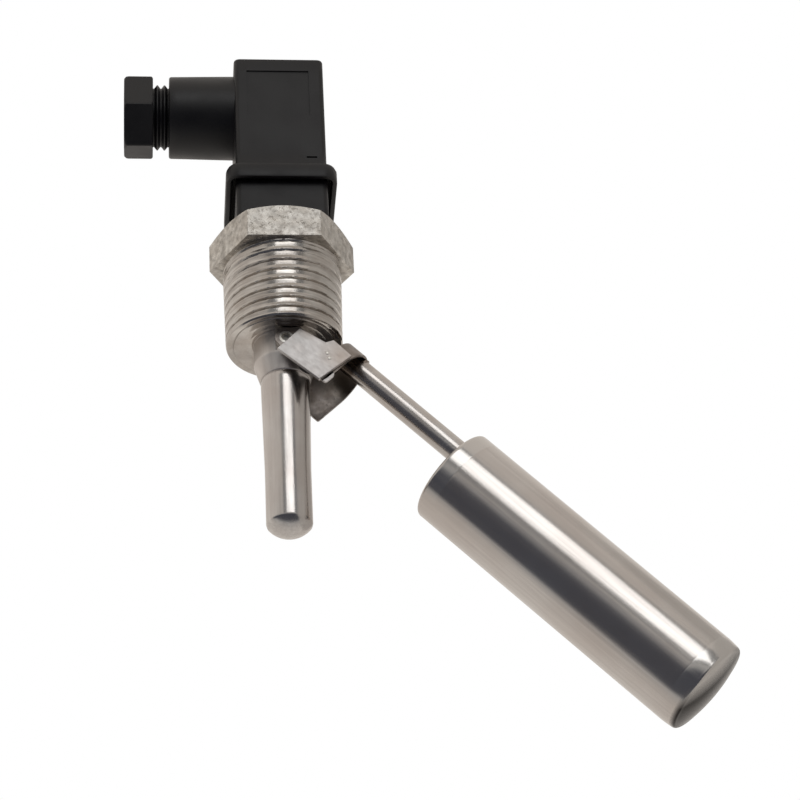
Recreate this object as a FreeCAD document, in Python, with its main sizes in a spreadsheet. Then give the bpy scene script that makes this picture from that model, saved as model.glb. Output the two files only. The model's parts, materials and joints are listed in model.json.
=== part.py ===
import FreeCAD, Part
import math
import os
import re
import Sketcher

# Side-mounted float level switch with a square plug-in connector.
# Frame: origin on the thread axis at the plug's seat face, +X out along the stem,
# +Z up (the cable gland points up and the float lever hangs below), +Y to the near side.
# All sizes are millimetres and degrees.

SIZES = [
    # plug and process thread
    ("hexAcross", 22.0, "across flats of the plug's hexagon"),
    ("hexHeight", 6.5, "hexagon height"),
    ("hexBevel", 30.0, "bevel angle of the hexagon's corners"),
    ("threadRadius", 10.48, "major radius of the process thread"),
    ("threadLength", 16.0, "seat face to end face"),
    ("threadChamfer", 1.2, "lead-in chamfer of the thread"),
    ("plugBore", 1.9, "radius of the wire bore through the plug"),
    # hinge boss and stem
    ("bossRadius", 5.35, "hinge boss radius"),
    ("bossLength", 4.2, "end face to the cone of the boss"),
    ("bossFlat", 3.44, "axis to a milled flat of the boss"),
    ("flatLength", 4.0, "end face to the end of the flats"),
    ("coneLength", 3.1, "length of the boss cone"),
    ("coneStep", 0.1, "step from the cone to the stem tube"),
    ("socketDepth", 3.2, "how far the stem tube sits in the boss"),
    ("socketRadius", 3.5, "radius of the stem tube's seat"),
    ("stemRootRadius", 4.25, "stem radius at the boss"),
    ("stemTipRadius", 3.9, "stem radius along its plain end"),
    ("stemTaper", 18.0, "length over which the stem narrows"),
    ("stemReach", 53.7, "seat face to the tip of the stem"),
    ("stemDome", 2.0, "rise of the stem's domed end"),
    ("stemWall", 0.6, "wall of the stem tube"),
    # hinge
    ("pivotDrop", 2.0, "end face to the hinge axis"),
    ("pinSeat", 1.1, "depth of a hinge pin in the boss"),
    ("pinShoulder", 1.8, "radius of a hinge pin's shoulder"),
    ("pinRadius", 1.2, "radius of a hinge pin's journal"),
    ("pinDrill", 0.8, "radius of the drilled pin end"),
    ("pinDrillDepth", 0.9, "depth of the drilled pin end"),
    ("runningGap", 0.05, "radial clearance of a cheek on its pin"),
    ("sideGap", 0.1, "clearance between a cheek and a pin shoulder"),
    # lever
    ("leverLean", 44.0, "angle of the lever below the stem at rest"),
    ("stopGap", 0.1, "gap at rest between the cheeks' stop edge and the plug"),
    ("cheekHalf", 6.2, "middle to the outer face of a cheek"),
    ("sheet", 0.4, "sheet thickness of the bracket"),
    ("archStart", 7.4, "hinge axis to the near edge of the round web"),
    ("cheekReach", 10.75, "hinge axis to the far edge of the bracket"),
    ("cheekCorner", 1.4, "corner radius of a cheek"),
    ("cheekDrop", 2.35, "hinge axis to a cheek's edge on the stem side"),
    ("cheekRamp", 2.0, "hinge axis to the end of that edge's slope"),
    ("plateSheet", 0.7, "thickness of the cover plate"),
    ("plateNear", 0.95, "hinge axis to the plate's near edge"),
    ("plateReach", 10.55, "hinge axis to the plate's far edge"),
    ("plateDrop", 2.95, "plate's edge on the stem side"),
    ("plateRise", 3.1, "plate's edge on the web side"),
    ("plateStep", 6.2, "hinge axis to the step in the plate's edge"),
    ("plateTab", 4.8, "edge of the plate beyond the step"),
    ("magnetRadius", 2.6, "magnet disc radius"),
    ("magnetThick", 1.0, "magnet disc thickness"),
    ("magnetPlace", 6.3, "hinge axis to the magnet's centre"),
    ("seatGap", 0.02, "clearance of a piece in its seat"),
    ("rodRadius", 2.05, "float rod radius"),
    ("rodOffset", 7.25, "hinge axis to the rod's axis, square to the rod"),
    ("rodStart", 7.8, "hinge axis to the rod's end, along the rod"),
    ("rodSaddle", 0.35, "depth of the saddle that fits the rod's end to the web"),
    # float
    ("floatRadius", 8.55, "outer radius of the float"),
    ("floatOffset", 3.1, "hinge axis to the float's axis, square to it"),
    ("floatStart", 36.3, "hinge axis to the rim of the top cap"),
    ("floatLength", 56.5, "rim to rim length of the float"),
    ("floatWall", 0.4, "wall of the float"),
    ("topRise", 0.4, "rise of the top cap over its rim"),
    ("bottomRise", 1.2, "rise of the bottom cap over its rim"),
    ("capSkirt", 3.0, "rim to the seam of a cap"),
    ("capRound", 0.6, "rounding of a cap's rim"),
    ("rodEntry", 2.2, "how far the rod's end passes the cap's rim"),
    # reed switch and wires
    ("carrierTip", 5.6, "tip of the stem to the far end of the reed carrier"),
    ("carrierLength", 21.4, "length of the reed carrier"),
    ("carrierGap", 0.05, "clearance of the carrier in the stem"),
    ("reedRadius", 1.2, "glass radius"),
    ("reedTip", 8.0, "tip of the stem to the glass"),
    ("reedLength", 14.0, "glass length"),
    ("leadRadius", 0.3, "radius of a reed lead"),
    ("leadLength", 3.2, "reed lead outside the glass"),
    ("wireRadius", 0.5, "radius of an insulated wire"),
    ("wireSpread", 0.9, "wire to axis distance in the plug's bore"),
    ("returnOffset", 2.2, "axis to the return wire beside the reed"),
    # connector base
    ("baseHalf", 8.1, "half width of the connector base"),
    ("baseHeight", 8.8, "hexagon to the top of the base"),
    ("baseRound", 1.0, "edge rounding of the base"),
    ("spigotRadius", 6.4, "radius of the base's spigot in the plug"),
    ("spigotLength", 9.0, "length of the spigot"),
    ("chamberRadius", 5.2, "radius of the wire chamber in the base"),
    ("chamberRoof", 4.8, "top of the base to the chamber"),
    ("bladeRadius", 4.0, "axis to a contact blade"),
    ("bladeWide", 2.8, "contact blade width"),
    ("bladeThick", 0.5, "contact blade thickness"),
    ("bladeUp", 8.0, "contact blade above the base"),
    ("bladeTail", 1.5, "contact blade tail in the chamber"),
    ("slotGap", 0.1, "clearance of a blade in the insert"),
    # housing
    ("housingHeight", 35.5, "hexagon to the top of the housing"),
    ("blockHalf", 8.05, "half width of the housing's block"),
    ("blockRound", 0.9, "edge rounding of the block"),
    ("cavityHalf", 6.9, "half width of the housing's inside"),
    ("topWall", 3.4, "thickness of the housing's top"),
    ("skirtHalf", 9.8, "half width of the skirt"),
    ("skirtGap", 6.9, "hexagon to the skirt's lower rim"),
    ("skirtHeight", 3.9, "height of the skirt"),
    ("skirtRound", 2.6, "corner radius of the skirt"),
    ("skirtInner", 8.9, "half width of the skirt's inside"),
    ("gasketThick", 1.0, "thickness of the profile gasket"),
    ("gasketHalf", 8.7, "half width of the profile gasket"),
    ("insertHeight", 12.5, "height of the terminal insert"),
    ("insertGap", 0.1, "clearance round the terminal insert"),
    ("terminalRadius", 0.8, "terminal screw shank radius"),
    ("terminalHead", 1.35, "terminal screw head radius"),
    ("terminalDepth", 3.0, "terminal screw length in the insert"),
    ("terminalHeadHeight", 1.1, "terminal screw head height"),
    ("screwRadius", 1.25, "centre screw shank radius"),
    ("screwHead", 2.6, "centre screw head radius"),
    ("screwHeadHeight", 1.7, "centre screw head height"),
    ("screwRecess", 2.4, "depth of the screw's recess in the top"),
    ("screwDepth", 3.9, "depth of the screw in the base"),
    ("sealThick", 0.5, "thickness of the seal under the screw head"),
    # cable gland
    ("glandDrop", 7.6, "top of the housing to the gland's axis"),
    ("glandBoss", 7.6, "radius of the gland boss at the block"),
    ("glandBossEnd", 19.7, "thread axis to the end of the gland boss"),
    ("glandBore", 4.0, "radius of the cable way"),
    ("neckRadius", 5.9, "radius of the gland's threaded neck"),
    ("neckEnd", 25.4, "thread axis to the end of the neck"),
    ("sealRadius", 4.55, "gland seal radius"),
    ("sealBore", 2.6, "hole in the gland seal"),
    ("sealLength", 4.9, "length of the gland seal"),
    ("washerThick", 0.6, "gland washer thickness"),
    ("washerRadius", 5.6, "gland washer radius"),
    ("washerBore", 3.9, "hole in the gland washer"),
    ("nutAcross", 13.2, "across flats of the gland nut"),
    ("nutStart", 22.6, "thread axis to the nut's inner end"),
    ("nutEnd", 27.8, "thread axis to the nut's outer end"),
    ("nutTurn", 10.0, "turn of the gland nut about its axis"),
    ("cableHole", 3.6, "radius of the hole in the gland nut"),
    ("nutBevel", 0.7, "bevel of the nut's outer corners"),
]

FULL_TURN = 360.0
TOUCH = 0.001  # lets a cut run just past the face it opens

doc = FreeCAD.newDocument("FloatLevelSwitch")
sheet = doc.addObject("Spreadsheet::Sheet", "Sizes")
names = [name for name, number, note in SIZES]


def fill_sheet():
    for row, (name, number, note) in enumerate(SIZES, start=1):
        sheet.set(f"A{row}", note)
        sheet.set(f"B{row}", str(number))
        sheet.setAlias(f"B{row}", name)
    doc.recompute()


def full(text):
    """The expression with the sheet's name before each of its aliases."""
    return re.sub(r"[A-Za-z]\w*", lambda word: f"Sizes.{word[0]}" if word[0] in names else word[0], str(text))


def value(text):
    found = sheet.evalExpression(full(text))
    return float(getattr(found, "Value", found))


def bind(thing, prop, text):
    """Sets a property from an expression and keeps it bound."""
    thing.setExpression(prop, full(text))


# ---- building helpers ----

def new_body(label):
    body = doc.addObject("PartDesign::Body", label)
    body.Label = label
    return body


def plane_of(body, role):
    return next(item for item in body.Origin.OriginFeatures if item.Role == role)


def new_sketch(body, role, offset="0"):
    """An empty sketch on one of the body's own planes, moved along its normal by offset."""
    sketch = body.newObject("Sketcher::SketchObject", f"{body.Name}_sketch")
    sketch.AttachmentSupport = [(plane_of(body, role), "")]
    sketch.MapMode = "FlatFace"
    sketch.AttachmentOffset = FreeCAD.Placement(FreeCAD.Vector(0, 0, value(offset)), FreeCAD.Rotation())
    bind(sketch, "AttachmentOffset.Base.z", offset)
    return sketch


def hold(sketch, kind, item, end, text):
    """Holds a point's distance from the origin to an expression."""
    index = sketch.addConstraint(Sketcher.Constraint(kind, -1, 1, item, end, value(text)))
    bind(sketch, f"Constraints[{index}]", text)


def draw_arc(sketch, start, end, centre, turn):
    """An arc from start to end about centre; turn is 1 anticlockwise and -1 clockwise."""
    middle = FreeCAD.Vector(*centre, 0)
    a = math.atan2(start[1] - centre[1], start[0] - centre[0])
    b = math.atan2(end[1] - centre[1], end[0] - centre[0])
    radius = math.hypot(start[0] - centre[0], start[1] - centre[1])
    circle = Part.Circle(middle, FreeCAD.Vector(0, 0, 1), radius)
    if turn < 0:
        a, b = b, a
    while b <= a:
        b += math.tau
    return sketch.addGeometry(Part.ArcOfCircle(circle, a, b), False)


def closed_outline(sketch, points):
    """A closed outline. A point is (x, y), or (x, y, centre x, centre y, turn) where an arc starts."""
    spots = [(value(point[0]), value(point[1])) for point in points]
    items = []
    for i, point in enumerate(points):
        start = spots[i]
        end = spots[(i + 1) % len(points)]
        if len(point) == 2:
            line = Part.LineSegment(FreeCAD.Vector(*start, 0), FreeCAD.Vector(*end, 0))
            items.append((sketch.addGeometry(line, False), 1, 2))
        else:
            centre = (value(point[2]), value(point[3]))
            arc = draw_arc(sketch, start, end, centre, point[4])
            items.append((arc, 1, 2) if point[4] > 0 else (arc, 2, 1))
    for i, (item, first, last) in enumerate(items):
        after, after_first, after_last = items[(i + 1) % len(items)]
        sketch.addConstraint(Sketcher.Constraint("Coincident", item, last, after, after_first))
    for i, (item, first, last) in enumerate(items):
        hold(sketch, "DistanceX", item, first, points[i][0])
        hold(sketch, "DistanceY", item, first, points[i][1])
        if len(points[i]) > 2:
            start = spots[i]
            end = spots[(i + 1) % len(points)]
            # the centre slides on the chord's bisector, so one of its distances fixes it
            level = abs(end[0] - start[0]) > abs(end[1] - start[1])
            hold(sketch, "DistanceY" if level else "DistanceX", item, 3, points[i][3 if level else 2])
    return sketch


def circle_outline(sketch, x, y, radius):
    circle = Part.Circle(FreeCAD.Vector(value(x), value(y), 0), FreeCAD.Vector(0, 0, 1), value(radius))
    item = sketch.addGeometry(circle, False)
    hold(sketch, "DistanceX", item, 3, x)
    hold(sketch, "DistanceY", item, 3, y)
    index = sketch.addConstraint(Sketcher.Constraint("Radius", item, value(radius)))
    bind(sketch, f"Constraints[{index}]", radius)
    return sketch


def square_outline(sketch, half, x="0", y="0"):
    """A square of the given half width about a centre."""
    return box_outline(sketch, half, half, x, y)


def box_outline(sketch, half_x, half_y, x="0", y="0"):
    return closed_outline(sketch, [
        (f"{x} - ({half_x})", f"{y} - ({half_y})"),
        (f"{x} + ({half_x})", f"{y} - ({half_y})"),
        (f"{x} + ({half_x})", f"{y} + ({half_y})"),
        (f"{x} - ({half_x})", f"{y} + ({half_y})"),
    ])


def hex_outline(sketch, across):
    """A hexagon with two flats square to the sketch's X axis."""
    corner = f"({across}) / sqrt(3)"
    flat = f"({across}) / 2"
    return closed_outline(sketch, [
        (f"0 - {flat}", f"0 - {corner} / 2"), ("0", f"0 - {corner}"), (flat, f"0 - {corner} / 2"),
        (flat, f"{corner} / 2"), ("0", corner), (f"0 - {flat}", f"{corner} / 2"),
    ])


def pad(body, sketch, length):
    feature = body.newObject("PartDesign::Pad", f"{body.Name}_pad")
    feature.Profile = sketch
    feature.Length = value(length)
    bind(feature, "Length", length)
    sketch.Visibility = False
    doc.recompute()
    return feature


def pocket(body, sketch, length, forward=False):
    """Cuts against the sketch's normal, or along it when forward, and must take some metal away."""
    before = body.Shape.Volume
    feature = body.newObject("PartDesign::Pocket", f"{body.Name}_pocket")
    feature.Profile = sketch
    feature.Length = value(length)
    bind(feature, "Length", length)
    feature.Reversed = forward
    sketch.Visibility = False
    doc.recompute()
    if body.Shape.Volume > before - TOUCH:
        raise RuntimeError(f"a pocket of {body.Label} cuts nothing")
    return feature


def turn(body, points, kind="PartDesign::Revolution"):
    """Turns an outline of (along, out) points about the body's X axis, as metal or as a groove."""
    sketch = closed_outline(new_sketch(body, "XY_Plane"), points)
    feature = body.newObject(kind, f"{body.Name}_turn")
    feature.Profile = sketch
    feature.ReferenceAxis = (sketch, ["H_Axis"])
    feature.Angle = FULL_TURN
    sketch.Visibility = False
    doc.recompute()
    return feature


def groove(body, points):
    return turn(body, points, "PartDesign::Groove")


def ring(label, start, end, outer, inner):
    """A plain ring or tube about X."""
    body = new_body(label)
    turn(body, [(start, inner), (end, inner), (end, outer), (start, outer)])
    return body


def edges_where(shape, test):
    return [f"Edge{i}" for i, edge in enumerate(shape.Edges, start=1) if test(edge)]


def runs_along_x(edge, half, tolerance=0.01):
    """True for a straight edge along X at the corner of a square of that half width."""
    a, b = edge.Vertexes[0].Point, edge.Vertexes[-1].Point
    level = abs(a.y - b.y) < tolerance and abs(a.z - b.z) < tolerance
    corner = abs(abs(a.y) - half) < tolerance and abs(abs(a.z) - half) < tolerance
    return level and corner and len(edge.Vertexes) == 2


def fillet(body, edges, radius):
    base = body.Tip
    feature = body.newObject("PartDesign::Fillet", f"{body.Name}_fillet")
    feature.Base = (base, edges)
    feature.Radius = value(radius)
    bind(feature, "Radius", radius)
    doc.recompute()
    return feature


def place(thing, x="0", z="0", axis=(0, 1, 0), angle="0"):
    """Puts a body at (x, 0, z), turned about an axis, with both bound to the sheet."""
    thing.Placement = FreeCAD.Placement(
        FreeCAD.Vector(value(x), 0, value(z)), FreeCAD.Rotation(FreeCAD.Vector(*axis), value(angle)))
    bind(thing, "Placement.Base.x", x)
    bind(thing, "Placement.Base.z", z)
    bind(thing, "Placement.Rotation.Angle", angle)
    return thing


PIVOT_X = "(threadLength + pivotDrop)"
HEX_TOP = "(0 - hexHeight)"
BASE_TOP = f"({HEX_TOP} - baseHeight)"
LEDGE = f"({BASE_TOP} - gasketThick)"
HOUSING_TOP = f"({HEX_TOP} - housingHeight)"
SKIRT_RIM = f"({HEX_TOP} - skirtGap)"
SKIRT_TOP = f"({SKIRT_RIM} - skirtHeight)"
GLAND_X = f"({HOUSING_TOP} + glandDrop)"
BOSS_END = "(threadLength + bossLength)"
CONE_END = f"({BOSS_END} + coneLength)"
ARCH_CENTRE = "(rodOffset + rodRadius - rodSaddle + sheet - cheekHalf)"
CARRIER_END = "(stemReach - carrierTip)"
CARRIER_START = f"({CARRIER_END} - carrierLength)"
REED_END = "(stemReach - reedTip)"
REED_START = f"({REED_END} - reedLength)"
QUARTER_TURNS = (0, 1, 2, 3)


def on_lever(body):
    """Lever pieces are drawn along X with the web side at -Z, then leaned about the hinge axis."""
    return place(body, x=PIVOT_X, angle="leverLean")


def on_gland(body):
    """Gland pieces are turned about X, then stood up along +Z on the gland's axis."""
    return place(body, x=GLAND_X, angle="0 - 90")


# ---- plug, stem and hinge pins ----

def hex_plug():
    body = new_body("hex_plug")
    # the hexagon's flats face the near and far sides
    pad(body, hex_outline(new_sketch(body, "YZ_Plane", HEX_TOP), "hexAcross"), "hexHeight")
    bevel_start = "(hexAcross / 2)"
    bevel_end = "(hexAcross * 0.6)"
    groove(body, [
        (HEX_TOP, f"{bevel_start} - 0.3"),
        (HEX_TOP, bevel_end),
        (f"{HEX_TOP} + ({bevel_end} - {bevel_start} + 0.3) * tan(hexBevel)", bevel_end),
    ])
    turn(body, [
        ("0 - hexHeight / 2", "0"), ("0 - hexHeight / 2", "threadRadius"),
        ("threadLength - threadChamfer", "threadRadius"),
        ("threadLength", "threadRadius - threadChamfer"),
        ("threadLength", "bossRadius"), (BOSS_END, "bossRadius"),
        (CONE_END, "stemRootRadius + coneStep"), (CONE_END, "0"),
    ])
    # stepped bore: base spigot, wires, stem tube
    spigot_end = f"({HEX_TOP} + spigotLength + seatGap)"
    groove(body, [
        (HEX_TOP, "0"), (HEX_TOP, "spigotRadius + seatGap"), (spigot_end, "spigotRadius + seatGap"),
        (spigot_end, "plugBore"), (f"{CONE_END} - socketDepth", "plugBore"),
        (f"{CONE_END} - socketDepth", "socketRadius + seatGap"),
        (f"{CONE_END} + {TOUCH}", "socketRadius + seatGap"), (f"{CONE_END} + {TOUCH}", "0"),
    ])
    for side in (1, -1):
        # XZ sketches look along -Y, so a plane offset of -y lies at +y
        flat = new_sketch(body, "XZ_Plane", f"{-side} * bossFlat")
        closed_outline(flat, [
            (f"threadLength", "0 - bossRadius"), ("threadLength + flatLength", "0 - bossRadius"),
            ("threadLength + flatLength", "bossRadius"), ("threadLength", "bossRadius"),
        ])
        pocket(body, flat, "bossRadius", forward=side < 0)
        seat = circle_outline(new_sketch(body, "XZ_Plane", f"{-side} * bossFlat"), PIVOT_X, "0", "pinRadius")
        pocket(body, seat, "pinSeat", forward=side > 0)
    return body


def stem_tube():
    body = new_body("stem_tube")
    start = f"({CONE_END} - socketDepth + seatGap)"
    taper_end = f"({CONE_END} + stemTaper)"
    rim = "(stemReach - stemDome)"
    ball = "((stemTipRadius ^ 2 + stemDome ^ 2) / (2 * stemDome))"
    inner_ball = f"({ball} - stemWall)"
    inner_tip = "(stemTipRadius - stemWall)"
    inner_rim = f"(stemReach - {ball} + sqrt({inner_ball} ^ 2 - {inner_tip} ^ 2))"
    turn(body, [
        (start, inner_tip), (start, "socketRadius"), (CONE_END, "socketRadius"),
        (CONE_END, "stemRootRadius"), (taper_end, "stemTipRadius"),
        (rim, "stemTipRadius", f"stemReach - {ball}", "0", -1),
        ("stemReach", "0"), ("stemReach - stemWall", "0", f"stemReach - {ball}", "0", 1),
        (inner_rim, inner_tip),
    ])
    return body


def hinge_pin(label, side):
    """A shouldered pin pressed into a flat of the boss; the cheek turns on its journal."""
    body = new_body(label)
    shoulder_end = "(cheekHalf - sheet - sideGap)"
    tip = "(cheekHalf - sideGap / 2)"
    turn(body, [
        ("bossFlat - pinSeat", "0"), ("bossFlat - pinSeat", "pinRadius"), ("bossFlat", "pinRadius"),
        ("bossFlat", "pinShoulder"), (shoulder_end, "pinShoulder"), (shoulder_end, "pinRadius"),
        (tip, "pinRadius"), (tip, "pinDrill"), (f"{tip} - pinDrillDepth", "pinDrill"),
        (f"{tip} - pinDrillDepth", "0"),
    ])
    return place(body, x=PIVOT_X, axis=(0, 0, 1), angle=f"{side * 90}")


# ---- lever ----

def lever_bracket():
    """One sheet bent over a round web, trimmed to a hinge end, a stop edge and a web."""
    body = new_body("lever_bracket")
    top = "(pivotDrop - stopGap)"
    inner = "(cheekHalf - sheet)"
    middle = f"0 - {ARCH_CENTRE}"
    section = new_sketch(body, "YZ_Plane", "0 - cheekReach / 2")
    closed_outline(section, [
        ("0 - cheekHalf", "cheekDrop"), ("0 - cheekHalf", middle, "0", middle, 1),
        ("cheekHalf", middle), ("cheekHalf", "cheekDrop"), (inner, "cheekDrop"),
        (inner, middle, "0", middle, -1), (f"0 - {inner}", middle), (f"0 - {inner}", "cheekDrop"),
    ])
    pad(body, section, "cheekReach * 1.5")
    # the part that the side view trims away, cut in two bites through both cheeks
    lean_x = f"(0 - {top} * cos(leverLean))"
    lean_z = f"(0 - {top} * sin(leverLean))"
    stop_run = f"(({ARCH_CENTRE} - {top} * sin(leverLean)) / cos(leverLean))"
    corner_x = f"({lean_x} + {stop_run} * sin(leverLean))"
    web = f"(0 - {ARCH_CENTRE} - cheekHalf - 1)"
    hinge_end = new_sketch(body, "XZ_Plane", "0 - cheekHalf - 1")
    closed_outline(hinge_end, [
        ("0", top, "0", "0", 1), (lean_x, lean_z), (corner_x, middle), ("archStart", middle),
        ("archStart", web), ("0 - cheekReach", web), ("0 - cheekReach", "cheekDrop + 1"),
        ("cheekRamp", "cheekDrop + 1"), ("cheekRamp", "cheekDrop"),
    ])
    pocket(body, hinge_end, "2 * cheekHalf + 2", forward=True)
    holes = circle_outline(new_sketch(body, "XZ_Plane", "0 - cheekHalf - 1"), "0", "0", "pinRadius + runningGap")
    pocket(body, holes, "2 * cheekHalf + 2", forward=True)
    window = new_sketch(body, "XZ_Plane", "0 - cheekHalf - 1")
    circle_outline(window, "magnetPlace", "0", "magnetRadius + seatGap")
    pocket(body, window, "cheekHalf / 2 + 1", forward=True)
    reach = value("cheekReach")
    drop = value("cheekDrop")

    def far_corner(edge):
        a, b = edge.Vertexes[0].Point, edge.Vertexes[-1].Point
        across = abs(a.x - reach) + abs(b.x - reach) + abs(a.z - drop) + abs(b.z - drop)
        return across < 0.01
    fillet(body, edges_where(body.Shape, far_corner), "cheekCorner")
    return on_lever(body)


def cover_plate():
    body = new_body("cover_plate")
    sketch = new_sketch(body, "XZ_Plane", "0 - cheekHalf - plateSheet")
    closed_outline(sketch, [
        ("plateNear", "plateDrop"), ("plateReach", "plateDrop"), ("plateReach", "0 - plateTab"),
        ("plateStep", "0 - plateTab"), ("plateStep - 0.4", "0 - plateRise - 0.3"), ("plateNear", "0 - plateRise"),
    ])
    pad(body, sketch, "plateSheet")
    return on_lever(body)


def magnet():
    body = new_body("magnet")
    sketch = new_sketch(body, "XZ_Plane", "0 - cheekHalf")
    pad(body, circle_outline(sketch, "magnetPlace", "0", "magnetRadius"), "magnetThick")
    return on_lever(body)


def float_rod():
    body = new_body("float_rod")
    sketch = new_sketch(body, "YZ_Plane", "rodStart")
    circle_outline(sketch, "0", "0 - rodOffset", "rodRadius")
    pad(body, sketch, "floatStart + rodEntry - rodStart")
    saddle = new_sketch(body, "YZ_Plane", "cheekReach + seatGap")
    circle_outline(saddle, "0", f"0 - {ARCH_CENTRE}", "cheekHalf - sheet")
    box_outline(saddle, "cheekHalf + 1", "cheekHalf + 1", "0", f"0 - {ARCH_CENTRE}")
    pocket(body, saddle, "cheekReach - rodStart + 1")
    return on_lever(body)


def float_cap(label, rim, away, rise):
    """A pressed cap; away is -1 where it domes towards the hinge and 1 where it domes outwards."""
    body = new_body(label)
    seam = f"({rim} - {away} * capSkirt)"
    peak = f"({rim} + {away} * {rise})"
    ball = f"((floatRadius ^ 2 + {rise} ^ 2) / (2 * {rise}))"
    middle = f"({peak} - {away} * {ball})"
    inner = "(floatRadius - floatWall)"
    inner_ball = f"({ball} - floatWall)"
    inner_rim = f"({middle} + {away} * sqrt({inner_ball} ^ 2 - {inner} ^ 2))"
    turn(body, [
        (peak, "0", middle, "0", away), (rim, "floatRadius"), (seam, "floatRadius"), (seam, inner),
        (inner_rim, inner, middle, "0", -away), (f"{peak} - {away} * floatWall", "0"),
    ])
    edge_x = value(rim)
    radius = value("floatRadius")

    def rim_edge(edge):
        box = edge.BoundBox
        return abs(box.XMin - edge_x) + abs(box.XMax - edge_x) < 0.01 and abs(box.YMax - radius) < 0.01
    fillet(body, edges_where(body.Shape, rim_edge), "capRound")
    return body


def lower_to_float_axis(body):
    """The float's axis lies off the hinge axis on the web side."""
    across = "floatOffset"
    return place(body, x=f"{PIVOT_X} - {across} * sin(leverLean)", z=f"0 - {across} * cos(leverLean)",
                 angle="leverLean")


def float_top_cap():
    body = float_cap("float_top_cap", "floatStart", -1, "topRise")
    hole = new_sketch(body, "YZ_Plane", "floatStart - topRise - 1")
    circle_outline(hole, "0", "floatOffset - rodOffset", "rodRadius + seatGap")
    pocket(body, hole, "topRise + 2.5", forward=True)
    return lower_to_float_axis(body)


def float_bottom_cap():
    return lower_to_float_axis(float_cap("float_bottom_cap", "(floatStart + floatLength)", 1, "bottomRise"))


def float_shell():
    body = ring("float_shell", "floatStart + capSkirt", "floatStart + floatLength - capSkirt",
                "floatRadius", "floatRadius - floatWall")
    return lower_to_float_axis(body)


# ---- reed switch and wires ----

def reed_carrier():
    body = ring("reed_carrier", CARRIER_START, CARRIER_END,
                "stemTipRadius - stemWall - carrierGap", "reedRadius + carrierGap")
    groove_sketch = new_sketch(body, "YZ_Plane", CARRIER_END)
    box_outline(groove_sketch, "wireRadius + carrierGap", "wireRadius * 2", "0", "0 - returnOffset - wireRadius / 2")
    pocket(body, groove_sketch, "carrierLength")
    return body


def reed_capsule():
    body = new_body("reed_capsule")
    turn(body, [
        (REED_START, "leadRadius"), (f"{REED_START} + leadRadius * 2", "reedRadius"),
        (f"{REED_END} - leadRadius * 2", "reedRadius"), (REED_END, "leadRadius"), (REED_END, "0"),
        (REED_START, "0"),
    ])
    return body


def bent_round(label, spots, radius, bend):
    """A round wire along straight runs in the XZ plane, joined by tangent arcs."""
    edges = []
    points = [FreeCAD.Vector(x, 0, z) for x, z in spots]
    start = points[0]
    for i in range(1, len(points) - 1):
        back = (points[i - 1] - points[i]).normalize()
        on = (points[i + 1] - points[i]).normalize()
        half = back.getAngle(on) / 2
        run = bend / math.tan(half)
        first = points[i] + back * run
        last = points[i] + on * run
        inward = (back + on).normalize()
        middle = points[i] + inward * (bend / math.sin(half) - bend)
        edges.append(Part.LineSegment(start, first).toShape())
        edges.append(Part.Arc(first, middle, last).toShape())
        start = last
    edges.append(Part.LineSegment(start, points[-1]).toShape())
    spine = Part.Wire(edges)
    profile = Part.Wire([Part.Circle(points[0], points[1] - points[0], radius).toShape()])
    thing = doc.addObject("Part::Feature", label)
    thing.Label = label
    thing.Shape = spine.makePipeShell([profile], True, False)
    return thing


def reed_lead(label, start, end):
    body = new_body(label)
    turn(body, [(start, "0"), (start, "leadRadius"), (end, "leadRadius"), (end, "0")])
    return body


def wires():
    """The supply wire ends at the upper lead; the return wire passes the reed to the lower lead."""
    radius = value("wireRadius")
    bend = radius * 2
    top = value(f"{BASE_TOP} + chamberRoof + bladeTail")
    blade = value("bladeRadius")
    spread = value("wireSpread")
    into_plug = value(f"{HEX_TOP} + spigotLength") - bend
    near_reed = value(CARRIER_START) - bend
    supply = [(top, blade), (top + bend * 2, blade), (into_plug, spread), (near_reed - bend * 2, spread),
              (near_reed, 0), (value(f"{REED_START} - leadLength"), 0)]
    back = value("returnOffset")
    far = value(f"{REED_END} + leadLength")
    home = [(top, -blade), (top + bend * 2, -blade), (into_plug, -spread), (near_reed - bend * 2, -spread),
            (near_reed, -back), (far - radius, -back)]
    return bent_round("wire_supply", supply, radius, bend), bent_round("wire_return", home, radius, bend)


def reed_lead_lower():
    """The lower lead turns across to the return wire."""
    start = value(REED_END)
    far = value(f"{REED_END} + leadLength - wireRadius + leadRadius + seatGap")
    spots = [(start, 0), (far, 0), (far, -value("returnOffset"))]
    return bent_round("reed_lead_lower", spots, value("leadRadius"), value("leadRadius") * 3)


# ---- connector base ----

def blade_slots(body, start, depth, gap):
    """Four slots for the blades, cut from start against -X."""
    for turned in QUARTER_TURNS:
        across = "bladeThick / 2 + " + gap
        along = "bladeWide / 2 + " + gap
        sketch = new_sketch(body, "YZ_Plane", start)
        side = "bladeRadius" if turned < 2 else "0 - bladeRadius"
        if turned % 2:
            box_outline(sketch, across, along, side, "0")
        else:
            box_outline(sketch, along, across, "0", side)
        pocket(body, sketch, depth)


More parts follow.
